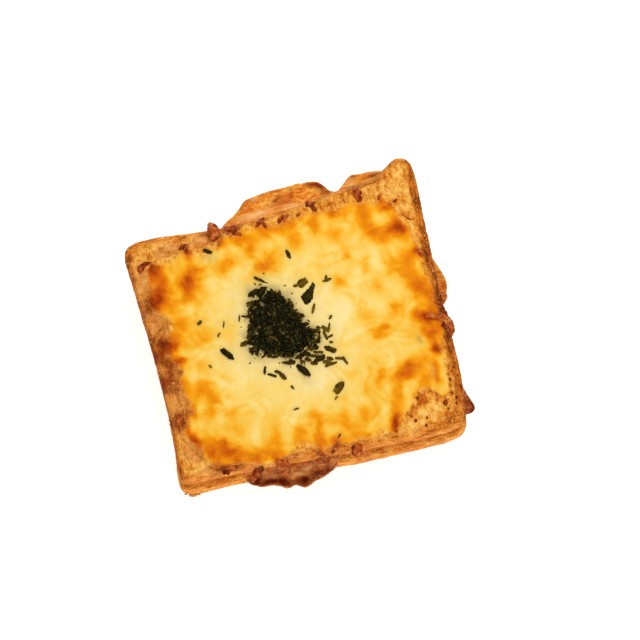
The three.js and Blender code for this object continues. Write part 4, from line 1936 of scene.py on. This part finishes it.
@dataclass(frozen=True)
class Sprig:
    """A larger bit of parsley that lies by itself, from one end to the other."""

    start: tuple[float, float]
    end: tuple[float, float]
    width: float
    tint: float = 0.3
    shape: HerbShape = HerbShape.LEAF

    @classmethod
    def table(cls, *rows: tuple[float | HerbShape, ...]) -> tuple["Sprig", ...]:
        """Make a bit of each row of x and y of its start and of its end, width, tint and any shape."""
        return tuple(cls(row[:2], row[2:4], *row[4:]) for row in rows)

    @property
    def middle(self) -> tuple[float, float]:
        """The place halfway between its ends."""
        return (self.start[0] + self.end[0]) / 2, (self.start[1] + self.end[1]) / 2

    @property
    def length(self) -> float:
        """The distance between its ends."""
        return math.hypot(self.end[0] - self.start[0], self.end[1] - self.start[1])


SPRIGS = Sprig.table(
    (-17.2, 17.6, -11.8, 19.0, 2.6, 0.22),
    (-17.0, 14.4, -14.2, 11.4, 2.6, 0.18),
    (-19.2, 9.6, -17.6, 12.6, 1.2, 0.4),
    (-20.6, 3.6, -19.8, 0.6, 1.6, 0.3),
    (0.4, 4.4, 4.4, 3.0, 2.0, 0.2),
    (-11.6, 19.6, -8.8, 18.4, 1.8, 0.25),
    (-10.4, -14.4, -4.8, -16.2, 1.4, 0.35),
    (-2.8, -15.8, -0.4, -16.8, 1.2, 0.5),
    (4.4, -13.4, 5.8, -14.2, 1.0, 0.4),
    (8.2, -7.0, 6.6, -9.6, 1.4, 0.35),
    (-31.2, 42.4, -27.6, 39.8, 2.0, 0.4),
    (3.6, 33.2, 4.4, 29.4, 1.7, 0.42),
    (-13.2, 25.2, -8.6, 21.5, 1.3, 0.4),
    (2.6, 16.6, 6.2, 17.0, 1.5, 0.6),
    (4.8, 16.2, 9.4, 18.3, 3.4, 0.56),
    (5.6, 8.0, 9.2, 13.4, 4.3, 0.26),
    (8.6, 12.0, 11.7, 16.0, 2.4, 0.36),
    (7.5, 2.8, 9.6, 7.2, 1.2, 0.56, HerbShape.STEM),
    (9.2, 9.0, 10.2, 14.6, 1.1, 0.42, HerbShape.STEM),
    (15.7, 15.8, 19.3, 16.0, 1.5, 0.56),
    (16.8, 16.0, 17.6, 17.9, 1.2, 0.6),
    (13.9, -1.2, 15.6, 0.4, 1.1, 0.58),
    (2.8, -0.9, 5.0, -0.6, 1.8, 0.3),
    (8.5, -5.0, 7.5, -10.0, 1.0, 0.34),
    (10.2, -5.2, 11.0, -9.6, 1.2, 0.52),
    (9.6, -3.0, 12.8, -6.2, 2.0, 0.58),
    (4.4, -7.0, 6.2, -10.2, 1.5, 0.34),
    (12.4, -6.4, 13.9, -2.4, 0.9, 0.5),
    (10.9, -8.9, 13.8, -8.2, 1.0, 0.5),
    (7.5, -10.2, 7.6, -7.2, 1.0, 0.3),
    (11.4, -10.6, 13.2, -11.5, 1.1, 0.6),
    (9.0, -12.3, 13.2, -15.4, 2.5, 0.34),
    (3.1, -17.1, 8.7, -16.3, 2.5, 0.28),
    (-0.6, -15.2, 2.2, -16.8, 1.6, 0.34),
    (1.8, -14.4, 5.2, -15.4, 1.4, 0.4),
    (8.6, -17.0, 11.4, -18.8, 1.5, 0.5),
    (5.2, -3.6, 9.0, -5.8, 2.0, 0.34),
    (7.8, -2.8, 9.6, -4.2, 1.2, 0.5),
    (2.0, -10.4, 6.6, -12.0, 2.2, 0.26),
    (7.0, -20.6, 12.2, -20.2, 1.4, 0.55),
    (6.6, -18.4, 10.2, -19.8, 1.9, 0.58),
    (12.2, -18.2, 15.8, -19.5, 1.1, 0.52),
    (15.3, -18.4, 16.7, -22.0, 1.2, 0.52),
    (-4.1, -17.5, 0.2, -23.2, 3.0, 0.15),
    (-4.8, -17.2, -3.2, -18.2, 1.6, 0.3),
    (-7.4, -14.2, -4.8, -15.4, 1.3, 0.3),
    (-17.8, -14.4, -18.9, -17.8, 1.2, 0.35),
    (-17.6, -17.9, -14.0, -19.7, 1.2, 0.3),
    (-12.5, -18.6, -10.4, -22.0, 1.8, 0.45),
    (-9.2, -25.0, -8.2, -26.9, 1.0, 0.5),
    (-15.5, -10.4, -11.5, -11.5, 1.2, 0.3),
    (-14.4, -17.2, -11.6, -19.0, 1.5, 0.45),
    (-1.0, -12.6, 2.6, -14.4, 2.0, 0.24),
    (1.6, -17.6, 4.4, -19.0, 1.6, 0.4),
    (5.6, -13.6, 8.0, -14.8, 1.3, 0.44),
    (4.2, -4.6, 5.0, -6.8, 1.6, 0.3),
    (6.2, 8.4, 5.2, 12.0, 1.6, 0.5),
    (-26.0, -2.8, -22.3, -2.0, 2.0, 0.5),
    (-23.8, 7.5, -22.8, 10.5, 0.8, 0.45, HerbShape.STEM),
    (-22.5, 9.8, -19.0, 8.4, 0.9, 0.4, HerbShape.STEM),
    (-29.9, 9.7, -31.0, 6.3, 0.6, 0.55, HerbShape.STEM),
    (-32.8, 5.0, -34.4, 3.2, 0.8, 0.65),
    (-34.4, -2.0, -29.8, -8.0, 2.6, 0.18),
    (7.9, -33.0, 13.3, -29.3, 3.8, 0.55),
    (7.6, -35.6, 9.2, -34.6, 0.8, 0.75),
    (-10.6, -35.6, -8.0, -35.4, 0.8, 0.55),
    (3.7, -13.2, 5.7, -13.9, 1.1, 0.3),
    (4.4, -52.4, 6.4, -50.6, 0.8, 0.5, HerbShape.STEM),
    (-41.4, 10.6, -39.2, 12.0, 1.4, 0.5),
    (-41.0, -7.6, -40.0, -9.2, 0.9, 0.65),
)


@dataclass
class Parsley:
    """The heap of dried parsley and the bits that lie round it."""

    layout: Layout
    surface: Callable[[Array, Array], Array]
    finish: HerbFinish
    bits: int = 1300
    strays: int = 70
    height: float = 2.6
    core_share: float = 0.88
    noise_radius: float = 14.0
    bit_length: tuple[float, float] = (1.2, 4.0)
    thickness: float = 0.13
    gaps: tuple[Scorch, ...] = Scorch.table(
        (-12.4, 12.4, 1.1, 1, 1.7, 130),
        (-17.6, 1.4, 0.8, 1, 3, 85),
        (-14.6, 15.8, 0.8, 1, 2.2, -15),
        (2.6, 0.6, 0.8, 1, 1.6, 90),
        (-23.4, -5, 1.6, 1, 2.4, 80),
        (-1.4, 14.6, 1.8, 1, 1.8, 115),
    )
    seed: int = 20

    def make(self) -> list[bpy.types.Object]:
        """Build and dress the heap's core and the parsley on it.

        Returns:
            The core and the bits.
        """
        core = self.core()
        bits = self.scatter()
        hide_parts("parsley_heap")
        for made in (core, bits):
            made.data.materials.append(self.finish.material())
        return [core, bits]

    def crown(self, share: Array, places: Array) -> Array:
        """Height of the heap over the cheese.

        Args:
            share: Distance from the heap's middle as a share of its reach.
            places: The places themselves, for the lumps.

        Returns:
            The heights.
        """
        lumps = 0.6 * Grain.smooth(places, 4.5, 141) + 0.3 * Grain.smooth(places, 1.8, 142)
        plain = (self.height * 0.74 + lumps) * np.clip(1 - share**2.4, 0, 1)
        return blend(plain, -0.2, ease(self.bare(places[..., 0], places[..., 1]), 0.3, 0.6))

    def bare(self, x: Array, y: Array) -> Array:
        """Where the heap leaves the cheese bare."""
        return Scorch.together(self.gaps, x, y, 0.4, 146)

    def core(self) -> bpy.types.Object:
        """Build the dense body of the heap.

        Returns:
            The core's object.
        """
        angle = self.layout.heap.directions(240)
        share = np.linspace(0, self.core_share, 34)[1:, None]
        around = level(self.noise_radius * np.cos(angle), self.noise_radius * np.sin(angle))
        reach = self.layout.heap.reach(angle) + 2.2 * Grain.rough(around, 3.4, 3, 143) - 0.6
        x = reach * share * np.cos(angle) + self.layout.heap_middle[0]
        y = reach * share * np.sin(angle) + self.layout.heap_middle[1]
        places = level(x, y)
        floor = self.surface(x, y)
        over = floor + self.crown(share / self.core_share, places)
        under = floor - 0.3
        rings = np.concatenate([np.stack([x, y, under], -1), np.stack([x, y, over], -1)[::-1]])
        tint = np.clip(0.1 + 0.2 * Grain.smooth(rings, 1.2, 144), 0, 1)
        body = Body.loft(rings, {"tint": tint, "lone": 0 * tint})
        return body.build("parsley_core", self.layout.middle)

    def scatter(self) -> bpy.types.Object:
        """Build the loose bits on and around the core.

        Returns:
            The bits' object.
        """
        draw = np.random.default_rng(self.seed)
        angle = draw.uniform(-math.pi, math.pi, self.bits + self.strays)
        heaped = np.arange(len(angle)) < self.bits
        near = np.sqrt(draw.uniform(0, 1, len(angle))) * 1.02
        share = np.where(heaped, near, 0.95 + draw.gamma(1.5, 0.1, len(angle)))
        reach = self.layout.heap.reach(angle)
        x = reach * share * np.cos(angle) + self.layout.heap_middle[0]
        y = reach * share * np.sin(angle) + self.layout.heap_middle[1]
        places = level(x, y)
        rise = self.crown(np.minimum(share, 1), places) + draw.uniform(-0.3, 0.45, len(x))
        height = self.surface(x, y) + np.where(heaped, rise, 0.1)
        clump = 0.2 * Grain.smooth(places, 3.4, 145)
        bodies = []
        for number in np.flatnonzero(self.bare(x, y) < 0.35):
            length = draw.uniform(*self.bit_length) * (1.0 if heaped[number] else 0.5)
            # a thread is a thin pale bit: a straw stem, and also a painted highlight in the dark heap
            thread = draw.uniform() < 0.22
            width = draw.uniform(0.2, 0.34) if thread else length * draw.uniform(0.25, 0.5)
            tilt = draw.normal(0, 0.5 if heaped[number] else 0.15)
            tint = draw.gamma(1.2, 0.11) + clump[number] + (draw.uniform(0.15, 0.65) if thread else 0.0)
            tint += 0.2 * float(ease(share[number], 0.8, 1.0))
            tint = min(max(tint, 0.0), 1.0)
            spot = np.array([x[number], y[number], height[number]])
            lone = float(ease(share[number], 0.75, 1.0))
            turn = draw.uniform(0, 6.3)
            bodies.append(self.leaf(draw, spot, length, width, turn, tilt, tint, lone))
        bodies += [self.sprig(draw, sprig) for sprig in SPRIGS]
        return Body.joined(bodies).build("parsley_bits", self.layout.middle)

    def sprig(self, draw: np.random.Generator, sprig: Sprig) -> Body:
        """Build one of the larger bits.

        Args:
            draw: The source of chance.
            sprig: Where it lies.

        Returns:
            The bit's body.
        """
        start, end = np.array(sprig.start), np.array(sprig.end)
        middle = (start + end) / 2
        first, half, last = (float(self.surface(place[0], place[1])) for place in (start, middle, end))
        turn = math.atan2(end[1] - start[1], end[0] - start[0])
        length = float(np.hypot(*(end - start))) * 1.12
        corners = 8 if sprig.shape is HerbShape.STEM else 22
        spot = np.array([middle[0], middle[1], max((first + last) / 2, half) + 0.24])
        tilt = math.atan2(last - first, length) + draw.normal(0, 0.03)
        return self.leaf(draw, spot, length, sprig.width * 1.1, turn, tilt, sprig.tint, 1.0, corners)

    def leaf(
        self,
        draw: np.random.Generator,
        spot: Array,
        length: float,
        width: float,
        turn: float,
        tilt: float,
        tint: float,
        lone: float,
        corners: int = 7,
    ) -> Body:
        """Build one crumpled bit.

        Args:
            draw: The source of chance.
            spot: Its middle.
            length: Its length.
            width: Its width.
            turn: Its direction on the cheese.
            tilt: How far it stands up, in radians.
            tint: Its tone from dark to straw.
            lone: How far it lies by itself, where it looks browner.
            corners: How many corners its ragged edge has.

        Returns:
            The bit's body.
        """
        around = np.linspace(0, 2 * math.pi, corners, endpoint=False)
        ragged = draw.uniform(0.6, 1.16, corners)
        ragged = 0.54 * ragged + 0.26 * np.roll(ragged, 1) + 0.2 * np.roll(ragged, -1)
        along = 0.5 * length * np.cos(around) * ragged
        across = 0.5 * width * np.sign(np.sin(around)) * np.abs(np.sin(around)) ** 0.7 * ragged
        curl = draw.normal(0, 0.1) / max(length, 1.0)
        bend = curl * along**2 * 2 + draw.normal(0, 0.06, corners) * min(width, 1.5)
        flat = np.stack([along, across, bend], -1)
        ca, sa = math.cos(turn), math.sin(turn)
        ct, st = math.cos(tilt), math.sin(tilt)
        lean = np.array([[ct, 0, -st], [0, 1, 0], [st, 0, ct]])
        spin = np.array([[ca, -sa, 0], [sa, ca, 0], [0, 0, 1]])
        edge = flat @ lean.T @ spin.T + spot
        up = spin @ lean @ np.array([0.0, 0.0, 1.0]) * self.thickness / 2
        rings = np.stack([edge - up, edge + up])
        shade = tint + draw.normal(0, 0.08, (2, corners))
        return Body.loft(rings, {"tint": np.clip(shade, 0, 1), "lone": 0 * shade + lone})


HANGING_CRUMBS = (  # x, y, size and tone of the coarse crumbs that cling to the front left corner
    (-60.4, -54.0, 1.8, 0.5),
    (-59.0, -54.6, 2.4, 0.3),
    (-57.2, -54.8, 1.8, 0.4),
    (-62.4, -53.4, 1.4, 0.6),
)


@dataclass
class Crumbs:
    """Toasted crumbs that cling to the bread."""

    layout: Layout
    surface: Callable[[Array, Array], Array]
    finish: CrumbFinish
    on_face: int = 150
    on_sides: int = 110
    size: tuple[float, float] = (0.35, 0.95)
    seed: int = 31

    def make(self) -> bpy.types.Object:
        """Build and dress the crumbs as one piece.

        Returns:
            The crumbs' object.
        """
        draw = np.random.default_rng(self.seed)
        ball = bmesh.new()
        bmesh.ops.create_icosphere(ball, subdivisions=2, radius=1.0)
        corners = np.array([vertex.co for vertex in ball.verts])
        faces = np.array([[vertex.index for vertex in face.verts] for face in ball.faces])
        ball.free()
        bodies = []
        for spot, size, tone in self.spots(draw):
            stretch = draw.uniform(0.55, 1.25, 3)
            rough = 1 + 0.45 * Grain.smooth(corners + draw.uniform(0, 90, 3), 0.8, 151)
            places = corners * stretch * rough[:, None] * size / 2 + spot
            bodies.append(Body(places, [faces], {"toast": np.full(len(corners), tone)}))
        made = Body.joined(bodies).build("toast_crumbs", self.layout.middle)
        made.data.materials.append(self.finish.material())
        return made

    def spots(self, draw: np.random.Generator) -> list[tuple[Array, float, float]]:
        """Choose where the crumbs lie.

        Args:
            draw: The source of chance.

        Returns:
            The place, size and tone of each crumb.
        """
        found = []
        for _ in range(self.on_face):
            angle = draw.uniform(-math.pi, math.pi)
            radius = float(self.layout.upper.reach(np.array(angle))) - draw.uniform(0.8, 6.5)
            x, y = radius * math.cos(angle), radius * math.sin(angle)
            size = draw.uniform(*self.size)
            height = float(self.surface(np.array(x), np.array(y)))
            found.append((np.array([x, y, height + 0.1 * size]), size, draw.uniform(0.1, 0.9)))
        for _ in range(self.on_sides):
            angle = draw.uniform(-math.pi, math.pi)
            upper = draw.uniform() < 0.5
            outline = self.layout.upper if upper else self.layout.lower
            base = self.layout.upper_base if upper else 0.0
            size = draw.uniform(*self.size)
            radius = float(outline.reach(np.array(angle))) + 0.1 * size
            height = base + draw.uniform(2.5, SLICE_THICKNESS - 2.5)
            spot = np.array([radius * math.cos(angle), radius * math.sin(angle), height])
            found.append((spot, size, draw.uniform(0.2, 1.0)))
        for x, y, size, tone in HANGING_CRUMBS:
            angle = math.atan2(y, x)
            radius = float(self.layout.lower.reach(np.array(angle))) + 0.2 * size
            spot = np.array([radius * math.cos(angle), radius * math.sin(angle), 2.4])
            found.append((spot, size, tone))
        return found


@dataclass
class Studio:
    """The floor, the light and the camera."""

    layout: Layout
    azimuth: float = -14.5
    elevation: float = 78.0
    lens: float = 135.0
    sensor: float = 36.0
    clip: tuple[float, float] = (0.05, 20.0)
    distance: float = 1034.4
    target_height: float = 28.0
    aside: float = 9.9  # the view's middle lies this far to the right of the loaf's middle
    ahead: float = 2.6  # and this far above it, as the camera sees it
    floor_tone: float = 0.8
    floor_glow: float = 0.62
    floor_drop: float = 0.2

    def make(self) -> None:
        """Set up the studio."""
        self.place_camera()
        self.lay_floor()
        self.light()

    def place_camera(self) -> None:
        """Point the camera at the sandwich."""
        turn, rise = math.radians(self.azimuth), math.radians(self.elevation)
        near = math.cos(rise)
        back = Vector((math.sin(turn) * near, -math.cos(turn) * near, math.sin(rise)))
        right = Vector((math.cos(turn), math.sin(turn), 0.0))
        up = back.cross(right)
        middle = Vector((*self.layout.middle, self.target_height))
        target = middle + right * self.aside + up * self.ahead
        data = bpy.data.cameras.new("camera")
        data.lens = self.lens
        data.sensor_width = self.sensor
        data.clip_start, data.clip_end = self.clip
        camera = bpy.data.objects.new("camera", data)
        camera.location = (target + back * self.distance) * MM
        camera.rotation_mode = "QUATERNION"
        camera.rotation_quaternion = (-back).to_track_quat("-Z", "Y")
        bpy.context.scene.collection.objects.link(camera)
        bpy.context.scene.camera = camera

    def lay_floor(self) -> None:
        """Lay a plain pale floor that glows a little, as a light table does."""
        mesh = bpy.data.meshes.new("floor")
        mesh.from_pydata([(-4, -4, 0), (4, -4, 0), (4, 4, 0), (-4, 4, 0)], [], [(0, 1, 2, 3)])
        floor = bpy.data.objects.new("floor", mesh)
        bpy.context.scene.collection.objects.link(floor)
        paint = Paint("pale_floor")
        tone = (self.floor_tone, self.floor_tone, self.floor_tone, 1.0)
        glow = {"Emission Color": (1.0, 1.0, 1.0, 1.0), "Emission Strength": self.floor_glow}
        mesh.materials.append(paint.finish({"Base Color": tone, "Roughness": 0.9, **glow}))
        floor.location.z = -self.floor_drop * MM

    def light(self) -> None:
        """Light the sandwich softly, mostly from the back right."""
        world = bpy.data.worlds.new("studio")
        world.use_nodes = True
        world.node_tree.nodes["Background"].inputs["Color"].default_value = (1.0, 0.99, 0.97, 1.0)
        world.node_tree.nodes["Background"].inputs["Strength"].default_value = 0.4
        bpy.context.scene.world = world
        self.lamp("key", (0.32, 0.55, 0.85), 0.45, 6.2)
        self.lamp("fill", (-0.55, -0.45, 0.9), 0.7, 2.0)
        self.lamp("front", (-0.12, -0.9, 0.24), 0.5, 3.0)
        bpy.context.scene.view_settings.view_transform = "Standard"
        bpy.context.scene.view_settings.look = "None"

    def lamp(self, name: str, place: tuple[float, float, float], size: float, power: float) -> None:
        """Hang one soft lamp.

        Args:
            name: The lamp's name.
            place: Where it hangs, in metres.
            size: Its width in metres.
            power: Its power in watts.
        """
        data = bpy.data.lights.new(name, "AREA")
        data.energy = power
        data.size = size
        lamp = bpy.data.objects.new(name, data)
        lamp.location = place
        lamp.rotation_mode = "QUATERNION"
        lamp.rotation_quaternion = (-Vector(place)).to_track_quat("-Z", "Y")
        bpy.context.scene.collection.objects.link(lamp)


@dataclass(frozen=True)
class SauceFilm:
    """The smooth film of sauce on the upper slice, between the cheese and the crust."""

    cheese: Spread
    patches: tuple[tuple[float, float, float, float], ...] = (
        (-60.0, 30.0, 4.5, 14.0),
        (-58.0, 14.0, 5.0, 10.0),
        (-58.0, -8.0, 6.0, 14.0),
        (-57.0, -26.0, 5.0, 12.0),
        (-55.0, -42.0, 6.0, 6.0),
        (-46.0, -52.0, 9.0, 3.0),
        (-24.0, -56.0, 14.0, 3.0),
        (-28.0, 47.0, 8.0, 3.0),
        (-46.0, 46.0, 6.0, 3.0),
    )

    def share(self, x: Array, y: Array) -> Array:
        """How much film covers places.

        Args:
            x, y: The places.

        Returns:
            1 under film and 0 on bare bread.
        """
        total = np.zeros_like(x)
        for middle_x, middle_y, half_x, half_y in self.patches:
            away = np.hypot((x - middle_x) / half_x, (y - middle_y) / half_y)
            total = np.maximum(total, ease(away, 1.25, 0.7))
        places = level(x, y)
        return np.clip(total + 0.35 * Grain.smooth(places, 3.5, 161) * (total > 0.01), 0, 1)

    def singe(self, x: Array, y: Array) -> Array:
        """How far the bread beside the cheese has browned."""
        return np.exp(-np.abs(self.cheese.inside(x, y)) / 2.0)


def main() -> None:
    """Build the sandwich from the bottom up, then the studio."""
    logging.basicConfig(level=logging.INFO, format="%(message)s")
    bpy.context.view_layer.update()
    layout = Layout()
    spread = Spread(Outline.of_node("cheese_topping", layout.middle, 4))
    film = SauceFilm(spread)
    lower = BreadSlice(layout, SliceRole.LOWER, BreadFinish("lower_bread"), film, 860, seed=205)
    upper = BreadSlice(layout, SliceRole.UPPER, BreadFinish("upper_bread"), film)
    cheese = CheeseTopping(layout, spread, upper, CheeseFinish())
    back_ham = HamSlice.back(layout)
    front_ham = HamSlice.front(layout)
    shreds = BrownedShreds(layout, cheese.surface, ShredFinish())
    parsley = Parsley(layout, cheese.surface, HerbFinish())
    crumbs = Crumbs(layout, layout.upper_face, CrumbFinish())
    for maker in (lower, back_ham, front_ham, upper, cheese, shreds, parsley, crumbs):
        made = maker.make()
        for piece in made if isinstance(made, list) else [made]:
            log.info("%s: %d faces", piece.name, len(piece.data.polygons))
    Studio(layout).make()


if __name__ == "__main__":
    main()
